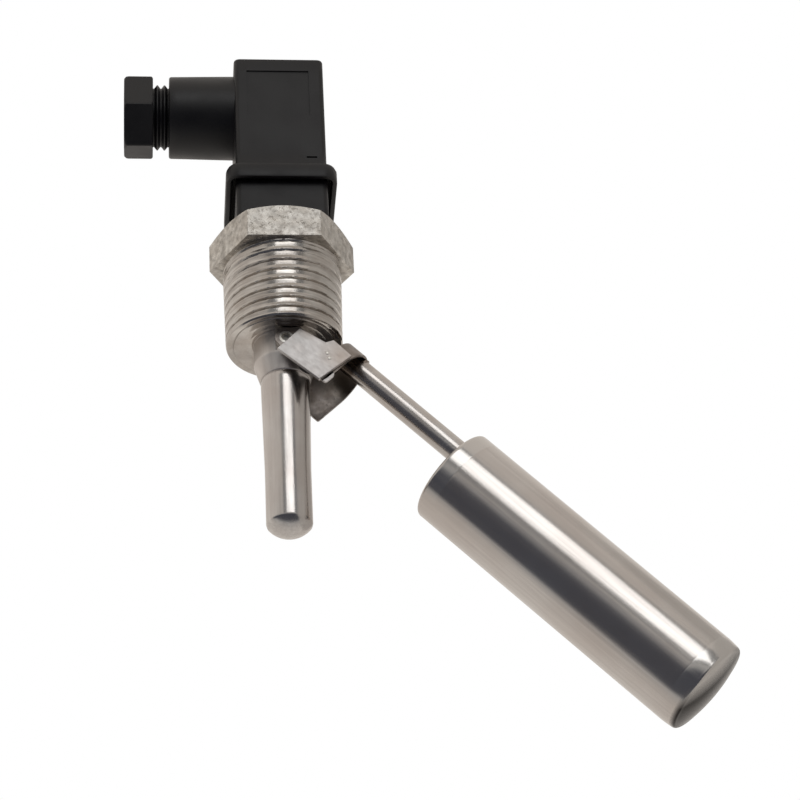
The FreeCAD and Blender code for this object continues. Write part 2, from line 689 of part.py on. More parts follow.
def connector_base():
    body = new_body("connector_base")
    pad(body, square_outline(new_sketch(body, "YZ_Plane", BASE_TOP), "baseHalf"), "baseHeight")
    half = value("baseHalf")
    fillet(body, edges_where(body.Shape, lambda edge: runs_along_x(edge, half)), "baseRound")
    spigot_end = f"({HEX_TOP} + spigotLength)"
    roof = f"({BASE_TOP} + chamberRoof)"
    turn(body, [
        (f"{HEX_TOP} - 1", "0"), (f"{HEX_TOP} - 1", "spigotRadius"), (spigot_end, "spigotRadius"),
        (spigot_end, "0"),
    ])
    groove(body, [
        (roof, "0"), (roof, "chamberRadius"), (f"{spigot_end} + {TOUCH}", "chamberRadius"),
        (f"{spigot_end} + {TOUCH}", "0"),
    ])
    groove(body, [
        (BASE_TOP, "0"), (BASE_TOP, "screwRadius + seatGap"),
        (f"{BASE_TOP} + screwDepth + seatGap", "screwRadius + seatGap"),
        (f"{BASE_TOP} + screwDepth + seatGap", "0"),
    ])
    blade_slots(body, f"({roof} + {TOUCH})", f"chamberRoof + 2 * {TOUCH}", "seatGap / 2")
    return body


def blade(label, turned):
    """A flat contact, parallel to the side of the base that it stands beside."""
    body = new_body(label)
    sketch = new_sketch(body, "YZ_Plane", f"{BASE_TOP} - bladeUp")
    box_outline(sketch, "bladeWide / 2", "bladeThick / 2", "0", "bladeRadius")
    pad(body, sketch, "bladeUp + chamberRoof + bladeTail")
    return place(body, axis=(1, 0, 0), angle=f"{turned * 90}")


# ---- housing ----

def profile_gasket():
    body = new_body("profile_gasket")
    pad(body, square_outline(new_sketch(body, "YZ_Plane", LEDGE), "gasketHalf"), "gasketThick")
    pocket(body, square_outline(new_sketch(body, "YZ_Plane", BASE_TOP), "cavityHalf"), "gasketThick")
    return body


def connector_housing():
    """A moulded shell: block, skirt over the base, and a gland boss with a threaded neck."""
    body = new_body("connector_housing")
    pad(body, square_outline(new_sketch(body, "YZ_Plane", HOUSING_TOP), "blockHalf"),
        f"{SKIRT_TOP} - {HOUSING_TOP}")
    half = value("blockHalf")
    fillet(body, edges_where(body.Shape, lambda edge: runs_along_x(edge, half)), "blockRound")
    pad(body, square_outline(new_sketch(body, "YZ_Plane", SKIRT_TOP), "skirtHalf"), "skirtHeight")
    skirt = value("skirtHalf")
    fillet(body, edges_where(body.Shape, lambda edge: runs_along_x(edge, skirt)), "skirtRound")
    pad(body, circle_outline(new_sketch(body, "XY_Plane", "blockHalf - 1"), GLAND_X, "0", "glandBoss"),
        "glandBossEnd - blockHalf + 1")
    pad(body, circle_outline(new_sketch(body, "XY_Plane", "glandBossEnd - 1"), GLAND_X, "0", "neckRadius"),
        "neckEnd - glandBossEnd + 1")
    pocket(body, square_outline(new_sketch(body, "YZ_Plane", SKIRT_RIM), "skirtInner"), f"{SKIRT_RIM} - {LEDGE}")
    pocket(body, square_outline(new_sketch(body, "YZ_Plane", LEDGE), "cavityHalf"),
           f"{LEDGE} - {HOUSING_TOP} - topWall")
    pocket(body, circle_outline(new_sketch(body, "XY_Plane", "neckEnd"), GLAND_X, "0", "sealRadius + seatGap"),
           "sealLength")
    pocket(body, circle_outline(new_sketch(body, "XY_Plane", "neckEnd"), GLAND_X, "0", "glandBore"),
           "neckEnd - cavityHalf + 1")
    pocket(body, circle_outline(new_sketch(body, "YZ_Plane", HOUSING_TOP), "0", "0", "screwHead + slotGap"),
           "screwRecess", forward=True)
    pocket(body, circle_outline(new_sketch(body, "YZ_Plane", HOUSING_TOP), "0", "0", "screwRadius + slotGap"),
           "topWall + 1", forward=True)
    return body


def terminal_insert():
    body = new_body("terminal_insert")
    foot = f"({BASE_TOP} - insertGap)"
    head = f"({foot} - insertHeight)"
    pad(body, square_outline(new_sketch(body, "YZ_Plane", head), "cavityHalf - insertGap"), "insertHeight")
    blade_slots(body, foot, "bladeUp + slotGap", "slotGap")
    pocket(body, circle_outline(new_sketch(body, "YZ_Plane", head), "0", "0", "screwRadius + slotGap"),
           "insertHeight", forward=True)
    for y, z in (("0", "bladeRadius"), ("bladeRadius", "0"), ("0", "0 - bladeRadius")):
        pocket(body, circle_outline(new_sketch(body, "YZ_Plane", head), y, z, "terminalRadius + seatGap"),
               "terminalDepth + seatGap", forward=True)
    return body


def terminal_screws():
    """Three wire screws, one over each live blade."""
    head = f"({BASE_TOP} - insertGap - insertHeight)"
    top = f"({head} - terminalHeadHeight)"
    screws = []
    for turned in QUARTER_TURNS[:3]:
        shank = doc.addObject("Part::Cylinder", f"terminal_shank_{turned + 1}")
        cap = doc.addObject("Part::Cylinder", f"terminal_head_{turned + 1}")
        y = "bladeRadius" if turned == 1 else "0"
        z = ("bladeRadius", "0", "0 - bladeRadius")[turned]
        for item, radius, start, length in ((shank, "terminalRadius", head, "terminalDepth"),
                                            (cap, "terminalHead", top, "terminalHeadHeight")):
            item.Placement = FreeCAD.Placement(
                FreeCAD.Vector(value(start), value(y), value(z)), FreeCAD.Rotation(FreeCAD.Vector(0, 1, 0), 90))
            bind(item, "Radius", radius)
            bind(item, "Height", length)
            bind(item, "Placement.Base.x", start)
            bind(item, "Placement.Base.y", y)
            bind(item, "Placement.Base.z", z)
        screw = doc.addObject("Part::MultiFuse", f"terminal_screw_{turned + 1}")
        screw.Shapes = [shank, cap]
        screws.append(screw)
    group = doc.addObject("Part::Compound", "terminal_screws")
    group.Label = "terminal_screws"
    group.Links = screws
    return group


def centre_screw():
    body = new_body("centre_screw")
    under = f"({HOUSING_TOP} + screwRecess - sealThick)"
    top = f"({under} - screwHeadHeight)"
    turn(body, [
        (top, "0"), (top, "screwHead"), (under, "screwHead"), (under, "screwRadius"),
        (f"{BASE_TOP} + screwDepth", "screwRadius"), (f"{BASE_TOP} + screwDepth", "0"),
    ])
    slot = box_outline(new_sketch(body, "YZ_Plane", top), "screwHead", "sealThick / 2")
    pocket(body, slot, "screwHeadHeight / 2", forward=True)
    return body


def screw_seal():
    floor = f"({HOUSING_TOP} + screwRecess)"
    return ring("screw_seal", f"{floor} - sealThick", floor, "screwHead", "screwRadius + slotGap")


# ---- cable gland ----

def gland_nut():
    body = new_body("gland_nut")
    sketch = new_sketch(body, "YZ_Plane", "nutStart")
    sketch.AttachmentOffset = FreeCAD.Placement(
        sketch.AttachmentOffset.Base, FreeCAD.Rotation(FreeCAD.Vector(0, 0, 1), value("nutTurn")))
    bind(sketch, "AttachmentOffset.Rotation.Angle", "nutTurn")
    pad(body, hex_outline(sketch, "nutAcross"), "nutEnd - nutStart")
    corner = "(nutAcross / sqrt(3))"
    groove(body, [
        (f"nutEnd + {TOUCH}", f"{corner} - nutBevel"), (f"nutEnd + {TOUCH}", f"{corner} + 1"),
        ("nutEnd - nutBevel - 1", f"{corner} + 1"),
    ])
    wall = "(neckEnd + washerThick + 2 * seatGap)"
    groove(body, [
        (f"nutStart - {TOUCH}", "0"), (f"nutStart - {TOUCH}", "neckRadius + runningGap"),
        (wall, "neckRadius + runningGap"), (wall, "cableHole"), (f"nutEnd + {TOUCH}", "cableHole"),
        (f"nutEnd + {TOUCH}", "0"),
    ])
    return on_gland(body)


def gland_washer():
    start = "(neckEnd + seatGap)"
    return on_gland(ring("gland_washer", start, f"{start} + washerThick", "washerRadius", "washerBore"))


def gland_seal():
    return on_gland(ring("gland_seal", "neckEnd - sealLength + seatGap", "neckEnd", "sealRadius", "sealBore"))


def build():
    """Every sub-part of the switch, fixed side first."""
    parts = [hex_plug(), stem_tube(), hinge_pin("hinge_pin_front", 1), hinge_pin("hinge_pin_rear", -1)]
    parts += [reed_carrier(), reed_capsule(),
              reed_lead("reed_lead_upper", f"{REED_START} - leadLength + seatGap", REED_START), reed_lead_lower()]
    parts += wires()
    parts += [connector_base()]
    parts += [blade(name, turned) for turned, name in enumerate(
        ("contact_blade_1", "contact_blade_2", "contact_blade_3", "earth_blade"))]
    parts += [profile_gasket(), connector_housing(), terminal_insert(), terminal_screws(), centre_screw(),
              screw_seal(), gland_nut(), gland_washer(), gland_seal()]
    parts += [lever_bracket(), cover_plate(), magnet(), float_rod(), float_shell(), float_top_cap(),
              float_bottom_cap()]
    return parts


def check_and_write(parts):
    """Stops on any failed object or broken shape, then writes one STEP file for each sub-part."""
    doc.recompute()
    failed = [item.Label for item in doc.Objects if "Invalid" in item.State or "Error" in item.State]
    if failed:
        raise RuntimeError(f"failed objects: {failed}")
    for part in parts:
        if part.Shape.isNull() or not part.Shape.isValid():
            raise RuntimeError(f"{part.Label} has no valid shape")
    os.makedirs("parts", exist_ok=True)
    for part in parts:
        part.Shape.exportStep(f"parts/{part.Label}.step")
        print(part.Label, len(part.Shape.Solids), round(part.Shape.Volume, 2))


fill_sheet()
check_and_write(build())
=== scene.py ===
import json
import math
import bmesh
import bpy
from mathutils import Matrix, Vector, noise


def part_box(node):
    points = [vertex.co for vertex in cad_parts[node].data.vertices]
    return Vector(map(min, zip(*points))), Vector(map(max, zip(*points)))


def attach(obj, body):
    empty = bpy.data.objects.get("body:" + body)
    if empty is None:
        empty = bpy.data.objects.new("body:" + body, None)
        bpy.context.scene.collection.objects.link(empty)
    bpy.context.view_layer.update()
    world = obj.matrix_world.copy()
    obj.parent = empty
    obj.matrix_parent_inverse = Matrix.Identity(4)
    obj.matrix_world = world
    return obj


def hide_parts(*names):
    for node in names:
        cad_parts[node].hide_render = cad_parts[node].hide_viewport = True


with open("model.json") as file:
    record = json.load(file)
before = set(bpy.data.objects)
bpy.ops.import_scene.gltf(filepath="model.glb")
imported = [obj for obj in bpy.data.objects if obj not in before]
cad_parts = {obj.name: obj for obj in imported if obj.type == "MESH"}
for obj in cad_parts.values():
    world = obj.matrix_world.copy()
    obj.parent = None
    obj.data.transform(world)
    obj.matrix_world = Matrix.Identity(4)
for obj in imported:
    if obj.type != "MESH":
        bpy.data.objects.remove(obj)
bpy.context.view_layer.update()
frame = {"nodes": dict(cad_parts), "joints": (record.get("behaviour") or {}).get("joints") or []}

# Looks for a side-mounted float level switch. Sizes in the dictionaries are millimetres and degrees.
# X runs out along the stem, Z is up through the cable gland, Y is the near side.

mm = 0.001
nodes = frame["nodes"]
fixedBody = "switch_body"
leverBody = "float_lever"
pivot = frame["joints"][0]["pos_m"]
leverLean = 44.0
print("frame loaded", len(nodes), "nodes")


# Where a node starts and ends, in millimetres.
def low(node):
    return [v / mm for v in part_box(node)[0]]


def high(node):
    return [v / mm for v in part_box(node)[1]]


def newMaterial(name, colour, metallic, roughness):
    material = bpy.data.materials.new(name)
    material.use_nodes = True
    shader = material.node_tree.nodes["Principled BSDF"]
    shader.inputs["Base Color"].default_value = (*colour, 1)
    shader.inputs["Metallic"].default_value = metallic
    shader.inputs["Roughness"].default_value = roughness
    return material, shader


def addNode(material, kind, **values):
    node = material.node_tree.nodes.new(kind)
    for key, value in values.items():
        setattr(node, key, value)
    return node


def link(material, a, aName, b, bName):
    material.node_tree.links.new(a.outputs[aName], b.inputs[bName])


# Object coordinates, turned to lie along the lever if asked, then stretched so that grain runs one way.
def objectCoords(material, scale, lean=0.0):
    before = addNode(material, "ShaderNodeTexCoord")
    output = "Object"
    if lean:
        turned = addNode(material, "ShaderNodeMapping")
        turned.inputs["Rotation"].default_value = (0, math.radians(-lean), 0)
        link(material, before, output, turned, "Vector")
        before, output = turned, "Vector"
    mapping = addNode(material, "ShaderNodeMapping")
    mapping.inputs["Scale"].default_value = scale
    link(material, before, output, mapping, "Vector")
    return mapping


def noiseField(material, scale, size, detail=4.0, rough=0.55, lean=0.0):
    mapping = objectCoords(material, scale, lean)
    field = addNode(material, "ShaderNodeTexNoise")
    field.inputs["Scale"].default_value = size
    field.inputs["Detail"].default_value = detail
    field.inputs["Roughness"].default_value = rough
    link(material, mapping, "Vector", field, "Vector")
    return field


def remap(material, source, output, fromLow, fromHigh, toLow, toHigh):
    node = addNode(material, "ShaderNodeMapRange")
    node.inputs["From Min"].default_value = fromLow
    node.inputs["From Max"].default_value = fromHigh
    node.inputs["To Min"].default_value = toLow
    node.inputs["To Max"].default_value = toHigh
    link(material, source, output, node, "Value")
    return node


# A colour between two others. Either may be a tuple or a (node, output) pair.
def mixColour(material, factor, factorName, first, second):
    node = addNode(material, "ShaderNodeMix", data_type="RGBA")
    link(material, factor, factorName, node, "Factor")
    for socket, item in ((node.inputs[6], first), (node.inputs[7], second)):
        if isinstance(item[0], (int, float)):
            socket.default_value = (*item, 1)
        else:
            material.node_tree.links.new(item[0].outputs[item[1]], socket)
    return node


# Chained bumps from (node, output, strength, distance) rows.
def addBump(material, shader, heights):
    before = None
    for node, output, strength, distance in heights:
        bump = addNode(material, "ShaderNodeBump")
        bump.inputs["Strength"].default_value = strength
        bump.inputs["Distance"].default_value = distance * mm
        link(material, node, output, bump, "Height")
        if before:
            link(material, before, "Normal", bump, "Normal")
        before = bump
    link(material, before, "Normal", shader, "Normal")


# Colour round a point, strongest there and gone at its reach: welding heat tint at some marks, painted shade
# at others.
def heatTintAndShade(material, before, tints):
    for place, reach, colour, strength in tints:
        coords = addNode(material, "ShaderNodeTexCoord")
        away = addNode(material, "ShaderNodeVectorMath", operation="DISTANCE")
        link(material, coords, "Object", away, 0)
        away.inputs[1].default_value = [v * mm for v in place]
        fade = remap(material, away, "Value", 0.0, reach * mm, strength, 0.0)
        before = mixColour(material, fade, "Result", (before, 2), colour)
    return before


# A fade between two distances, measured along the lever from its hinge or out to the near side.
def fadeAlong(material, way, start, full, strength=1.0):
    a = math.radians(leverLean)
    course = Vector((math.cos(a), 0, -math.sin(a))) if way == "lever" else Vector((0, 1, 0))
    offset = course.dot(Vector(pivot)) / mm
    coords = addNode(material, "ShaderNodeTexCoord")
    along = addNode(material, "ShaderNodeVectorMath", operation="DOT_PRODUCT")
    link(material, coords, "Object", along, 0)
    along.inputs[1].default_value = course / mm
    return remap(material, along, "Value", start + offset, full + offset, 0.0, strength)


# Painted shade and painted reflection: tones that set in along the fades.
def paintedShadeAndReflectionAlong(material, before, ends):
    for way, start, full, colour, strength in ends:
        fade = fadeAlong(material, way, start, full, strength)
        before = mixColour(material, fade, "Result", (before, 2), colour)
    return before


# Takes the shine off past a distance along the lever, and gives it back towards the near side. With the
# near-black tone there, this paints a dark reflection on the far cap.
def dullEnd(material, shader, start, full, nearStart, nearFull):
    both = addNode(material, "ShaderNodeMath", operation="MULTIPLY")
    link(material, fadeAlong(material, "lever", start, full), "Result", both, 0)
    link(material, fadeAlong(material, "near", nearFull, nearStart), "Result", both, 1)
    for socket, shiny, dull in (("Metallic", 1.0, 0.05), ("Specular IOR Level", 0.5, 0.08)):
        link(material, remap(material, both, "Value", 0.0, 1.0, shiny, dull), "Result", shader, socket)


# Steel with fine grain one way, slow tone changes, small pits and uneven gloss.
def steel(name, values):
    material, shader = newMaterial(name, values["colour"], 1.0, values["rough"])
    lean = values.get("lean", 0.0)
    grain = noiseField(material, values["grain"], 1.0, 5.0, lean=lean)
    cloud = noiseField(material, (1, 1, 1), values["cloudSize"], 3.0)
    toneMix = remap(material, cloud, "Fac", 0.35, 0.65, 0.0, 1.0)
    tone = mixColour(material, toneMix, "Result", values["colour"], values["warm"])
    streak = remap(material, grain, "Fac", 0.3, 0.7, 0.0, values["streak"])
    shaded = mixColour(material, streak, "Result", (tone, 2), values["dark"])
    # Painted shade and painted reflection along the lever, then heat tint and painted shade round points.
    shaded = paintedShadeAndReflectionAlong(material, shaded, values.get("ends", ()))
    shaded = heatTintAndShade(material, shaded, values.get("tints", ()))
    link(material, shaded, 2, shader, "Base Color")
    gloss = remap(material, grain, "Fac", 0.3, 0.7, values["rough"] - values["spread"],
                  values["rough"] + values["spread"])
    link(material, gloss, "Result", shader, "Roughness")
    if "dullEnd" in values:
        dullEnd(material, shader, *values["dullEnd"])
    pits = noiseField(material, (1, 1, 1), values["pitSize"], 2.0, 0.7)
    holes = remap(material, pits, "Fac", 0.30, 0.42, 0.0, 1.0)
    addBump(material, shader, [
        (grain, "Fac", values["grainBump"], 0.02),
        (holes, "Result", values["pitBump"], 0.05),
    ])
    return material


# Moulded plastic: fine grain, faint flow marks and a duller tone here and there.
def plastic(name, values):
    material, shader = newMaterial(name, values["colour"], 0.0, values["rough"])
    shader.inputs["Specular IOR Level"].default_value = values["shine"]
    fine = noiseField(material, (1, 1, 1), values["grainSize"], 3.0, 0.6)
    flow = noiseField(material, (1, 1, 1), 160.0, 3.0)
    duller = remap(material, flow, "Fac", 0.35, 0.65, 0.0, 1.0)
    tone = mixColour(material, duller, "Result", values["colour"], values["dull"])
    link(material, tone, 2, shader, "Base Color")
    gloss = remap(material, flow, "Fac", 0.3, 0.7, values["rough"] - 0.05, values["rough"] + 0.07)
    link(material, gloss, "Result", shader, "Roughness")
    addBump(material, shader, [(fine, "Fac", values["bump"], 0.03)])
    return material


steelLooks = {
    "hexagon": {
        "colour": (0.68, 0.655, 0.61), "warm": (0.54, 0.505, 0.455), "dark": (0.18, 0.165, 0.15),
        "rough": 0.33, "spread": 0.10, "grain": (800, 900, 800), "streak": 0.6, "cloudSize": 520.0,
        "grainBump": 0.7, "pitSize": 1700.0, "pitBump": 1.0},
    "thread": {
        "colour": (0.66, 0.635, 0.60), "warm": (0.52, 0.48, 0.44), "dark": (0.22, 0.20, 0.185), "rough": 0.18,
        "spread": 0.07, "grain": (2600, 160, 160), "streak": 0.65, "cloudSize": 300.0, "grainBump": 0.30,
        "pitSize": 2200.0, "pitBump": 0.15},
    "boss": {
        "colour": (0.70, 0.67, 0.64), "warm": (0.60, 0.56, 0.53), "dark": (0.40, 0.37, 0.35), "rough": 0.42,
        "spread": 0.07, "grain": (60, 900, 900), "streak": 0.35, "cloudSize": 220.0, "grainBump": 0.20,
        "pitSize": 2400.0, "pitBump": 0.10},
    "tube": {
        "colour": (0.60, 0.58, 0.56), "warm": (0.53, 0.49, 0.465), "dark": (0.38, 0.355, 0.335),
        "rough": 0.21, "spread": 0.07, "grain": (60, 1500, 1500), "streak": 0.40, "cloudSize": 120.0,
        "grainBump": 0.20, "pitSize": 2400.0, "pitBump": 0.08},
    "rod": {
        "colour": (0.60, 0.58, 0.56), "warm": (0.53, 0.49, 0.46), "dark": (0.36, 0.33, 0.31), "rough": 0.22,
        "spread": 0.07, "grain": (70, 1600, 1600), "streak": 0.45, "cloudSize": 260.0, "grainBump": 0.22,
        "pitSize": 2400.0, "pitBump": 0.12, "lean": leverLean,
        # The rod fades to near-black towards the hinge: painted shade where it runs under the web.
        "ends": [("lever", 11.4, 10.7, (0.045, 0.038, 0.032), 0.95)]},
    "float": {
        "colour": (0.60, 0.575, 0.55), "warm": (0.54, 0.50, 0.47), "dark": (0.42, 0.39, 0.37), "rough": 0.19,
        "spread": 0.05, "grain": (45, 1700, 1700), "streak": 0.35, "cloudSize": 70.0, "grainBump": 0.16,
        "pitSize": 2600.0, "pitBump": 0.05, "lean": leverLean},
    "cap": {
        "colour": (0.60, 0.575, 0.55), "warm": (0.54, 0.50, 0.47), "dark": (0.42, 0.39, 0.37), "rough": 0.19,
        "spread": 0.05, "grain": (45, 1700, 1700), "streak": 0.35, "cloudSize": 70.0, "grainBump": 0.16,
        "pitSize": 2600.0, "pitBump": 0.05, "lean": leverLean,
        # The far cap fades to near-black and loses its shine: a painted dark reflection; towards the near
        # side it keeps the steel colour.
        "ends": [("lever", 91.9, 92.8, (0.018, 0.014, 0.012), 0.98),
                 ("near", 3.0, 6.8, (0.58, 0.555, 0.53), 1.0)],
        "dullEnd": (91.9, 92.8, 3.0, 6.8)},
    # A darker copy of the plate's steel for the bracket, far cheek and gusset: painted shade.
    "sheet": {
        "colour": (0.33, 0.30, 0.28), "warm": (0.24, 0.205, 0.18), "dark": (0.14, 0.12, 0.105), "rough": 0.36,
        "spread": 0.09, "grain": (500, 500, 500), "streak": 0.5, "cloudSize": 420.0, "grainBump": 0.25,
        "pitSize": 1800.0, "pitBump": 0.3, "lean": leverLean},
    "plate": {
        "colour": (0.60, 0.585, 0.575), "warm": (0.55, 0.525, 0.51), "dark": (0.44, 0.42, 0.41),
        "rough": 0.46, "spread": 0.06, "grain": (700, 700, 1800), "streak": 0.35, "cloudSize": 380.0,
        "grainBump": 0.18, "pitSize": 2000.0, "pitBump": 0.2, "lean": leverLean},
    "plated": {
        "colour": (0.62, 0.61, 0.58), "warm": (0.58, 0.55, 0.50), "dark": (0.40, 0.38, 0.35), "rough": 0.30,
        "spread": 0.06, "grain": (900, 900, 900), "streak": 0.3, "cloudSize": 500.0, "grainBump": 0.15,
        "pitSize": 2500.0, "pitBump": 0.1},
    "weld": {
        "colour": (0.34, 0.29, 0.25), "warm": (0.25, 0.20, 0.17), "dark": (0.12, 0.09, 0.08), "rough": 0.38,
        "spread": 0.08, "grain": (900, 900, 900), "streak": 0.5, "cloudSize": 900.0, "grainBump": 0.4,
        "pitSize": 2600.0, "pitBump": 0.3},
    "brass": {
        "colour": (0.70, 0.55, 0.27), "warm": (0.62, 0.46, 0.20), "dark": (0.40, 0.28, 0.12), "rough": 0.30,
        "spread": 0.06, "grain": (200, 1500, 1500), "streak": 0.3, "cloudSize": 500.0, "grainBump": 0.15,
        "pitSize": 2500.0, "pitBump": 0.1},
    "magnet": {
        "colour": (0.10, 0.10, 0.105), "warm": (0.08, 0.075, 0.07), "dark": (0.04, 0.04, 0.04), "rough": 0.5,
        "spread": 0.06, "grain": (900, 900, 900), "streak": 0.4, "cloudSize": 800.0, "grainBump": 0.3,
        "pitSize": 2500.0, "pitBump": 0.4},
}

plasticLooks = {
    "black": {"colour": (0.0030, 0.0028, 0.0040), "dull": (0.0048, 0.0045, 0.0060), "rough": 0.44,
              "shine": 0.42, "grainSize": 2600.0, "bump": 0.35},
    "grey": {"colour": (0.10, 0.11, 0.12), "dull": (0.13, 0.135, 0.14), "rough": 0.5, "shine": 0.5,
             "grainSize": 2600.0, "bump": 0.3},
    "white": {"colour": (0.62, 0.60, 0.54), "dull": (0.56, 0.54, 0.48), "rough": 0.5, "shine": 0.5,
              "grainSize": 2600.0, "bump": 0.2},
    "red": {"colour": (0.32, 0.02, 0.015), "dull": (0.25, 0.02, 0.015), "rough": 0.35, "shine": 0.5,
            "grainSize": 3000.0, "bump": 0.15},
    "blue": {"colour": (0.015, 0.04, 0.22), "dull": (0.012, 0.03, 0.17), "rough": 0.35, "shine": 0.5,
             "grainSize": 3000.0, "bump": 0.15},
    "rubber": {"colour": (0.010, 0.010, 0.010), "dull": (0.016, 0.016, 0.015), "rough": 0.72, "shine": 0.3,
               "grainSize": 3400.0, "bump": 0.5},
}


# A spot on the lever in the frame: along the rod, towards the web, and towards the near side.
def leverPoint(along, out, side=0.0):
    a = math.radians(leverLean)
    x, z = math.cos(a) * along - math.sin(a) * out, -math.sin(a) * along - math.cos(a) * out
    return Vector((pivot[0] / mm + x, side, pivot[2] / mm + z))


# Colour marks round points. The plate's two brown marks and the sheet's mark at the web's end are welding
# heat tint; the sheet's near-black mark and both rod marks are painted shade; the sheet's mark by the hinge
# is a darker patch.
heatAndShadeMarks = {
    "plate": [(tuple(leverPoint(9.6, 3.6, 6.9)), 4.2, (0.40, 0.33, 0.28), 0.75),
              (tuple(leverPoint(2.0, 3.4, 6.9)), 2.4, (0.44, 0.36, 0.30), 0.6)],
    "sheet": [(tuple(leverPoint(10.6, 8.6, 0)), 4.0, (0.28, 0.20, 0.15), 0.5),
              # painted shade: near-black inside the far cheek, under the web
              (tuple(leverPoint(8.6, 5.6, -4.8)), 4.6, (0.085, 0.070, 0.052), 0.95),
              # a darker brown patch on the far cheek by the hinge
              (tuple(leverPoint(2.2, -0.5, -6.0)), 4.0, (0.15, 0.10, 0.09), 0.6)],
    # painted shade: the rod near-black where it runs into the bracket
    "rod": [(tuple(leverPoint(9.6, 6.8, 0)), 4.6, (0.13, 0.10, 0.08), 0.95),
            # painted shade: a brown dark line where the rod meets the float
            (tuple(leverPoint(36.2, 7.2, 0)), 3.5, (0.34, 0.27, 0.22), 0.6)],
}
for mark, tints in heatAndShadeMarks.items():
    steelLooks[mark]["tints"] = tints
steels = {name: steel("steel_" + name, values) for name, values in steelLooks.items()}
plastics = {name: plastic("plastic_" + name, values) for name, values in plasticLooks.items()}


def glassMaterial():
    material, shader = newMaterial("reed_glass", (0.62, 0.78, 0.70), 0.0, 0.05)
    shader.inputs["Transmission Weight"].default_value = 0.9
    shader.inputs["IOR"].default_value = 1.5
    ripple = noiseField(material, (30, 400, 400), 1.0, 2.0)
    addBump(material, shader, [(ripple, "Fac", 0.1, 0.02)])
    return material


glass = glassMaterial()
print("materials made")


def finishMesh(name, mesh, material, sharp, body, stands):
    mesh.materials.append(material)
    for face in mesh.polygons:
        face.use_smooth = True
    mesh.set_sharp_from_angle(angle=math.radians(sharp))
    piece = bpy.data.objects.new(name, mesh)
    bpy.context.scene.collection.objects.link(piece)
    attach(piece, body)
    if stands:
        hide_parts(*stands)
    return piece


# Skins rows of points. Every row is a closed ring; one point alone closes an end.
def gridPiece(name, rows, material, body, place=None, sharp=32, stands=(), closed=True):
    place = place or Matrix.Identity(4)
    form = bmesh.new()
    rings = [[form.verts.new(place @ (Vector(p) * mm)) for p in row] for row in rows]
    for a, b in zip(rings, rings[1:]):
        count = max(len(a), len(b))
        for i in range(count):
            j = (i + 1) % count
            corners = []
            for vert in (a[i % len(a)], a[j % len(a)], b[j % len(b)], b[i % len(b)]):
                if vert not in corners:
                    corners.append(vert)
            if len(corners) > 2:
                form.faces.new(corners)
    if closed:
        for end in (rings[0], rings[-1]):
            if len(end) > 2:
                form.faces.new(end)
    else:
        bmesh.ops.remove_doubles(form, verts=form.verts, dist=0.002 * mm)
    bmesh.ops.recalc_face_normals(form, faces=form.faces)
    mesh = bpy.data.meshes.new(name)
    form.to_mesh(mesh)
    form.free()
    return finishMesh(name, mesh, material, sharp, body, stands)


# A circle round X; radius may be a function of the angle. Angle 0 is +Y and 90 is +Z.
def ring(x, radius, steps):
    if not callable(radius) and radius == 0:
        return [(x, 0, 0)]
    spots = []
    for i in range(steps):
        angle = math.tau * i / steps
        r = radius(angle) if callable(radius) else radius
        spots.append((x, r * math.cos(angle), r * math.sin(angle)))
    return spots


# Turns (along, out) points round X. A profile that starts and ends off the axis closes on itself.
def lathe(name, profile, material, body, place=None, steps=96, sharp=32, stands=()):
    rows = [ring(x, r, steps) for x, r in profile]
    openEnds = len(rows[0]) > 1 and len(rows[-1]) > 1
    if openEnds:
        rows.append(rows[0])
    return gridPiece(name, rows, material, body, place, sharp, stands, closed=not openEnds)


# Points of an arc in a profile, from start to end degrees.
def arc(cx, cy, radius, start, end, steps):
    spots = []
    for i in range(steps + 1):
        angle = math.radians(start + (end - start) * i / steps)
        spots.append((cx + radius * math.cos(angle), cy + radius * math.sin(angle)))
    return spots


# A rounded square round X, with points spread evenly along its sides and corners.
def squareRing(x, half, corner, turnSteps=6, sideSteps=4):
    spots = []
    corner = max(corner, 0.01)
    flat = half - corner
    for quarter in range(4):
        start = quarter * math.pi / 2
        cy = flat * (1 if quarter in (0, 3) else -1)
        cz = flat * (1 if quarter in (0, 1) else -1)
        for i in range(turnSteps + 1):
            angle = start + math.pi / 2 * i / turnSteps
            spots.append((x, cy + corner * math.cos(angle), cz + corner * math.sin(angle)))
        ny, nz = -cz, cy
        turned = start + math.pi / 2
        ny = ny + corner * math.cos(turned)
        nz = nz + corner * math.sin(turned)
        last = spots[-1]
        for i in range(1, sideSteps):
            t = i / sideSteps
            spots.append((x, last[1] + (ny - last[1]) * t, last[2] + (nz - last[2]) * t))
    return spots


# A circle with its points at the same bearings as a square ring's.
def roundLike(x, radius):
    spots = []
    for _, y, z in squareRing(x, 1.0, 0.3):
        angle = math.atan2(z, y)
        spots.append((x, radius * math.cos(angle), radius * math.sin(angle)))
    return spots


def addBevel(piece, width, segments=2, angle=30):
    bevel = piece.modifiers.new("edge", "BEVEL")
    bevel.width = width * mm
    bevel.segments = segments
    bevel.limit_method = "ANGLE"
    bevel.angle_limit = math.radians(angle)
    return bevel


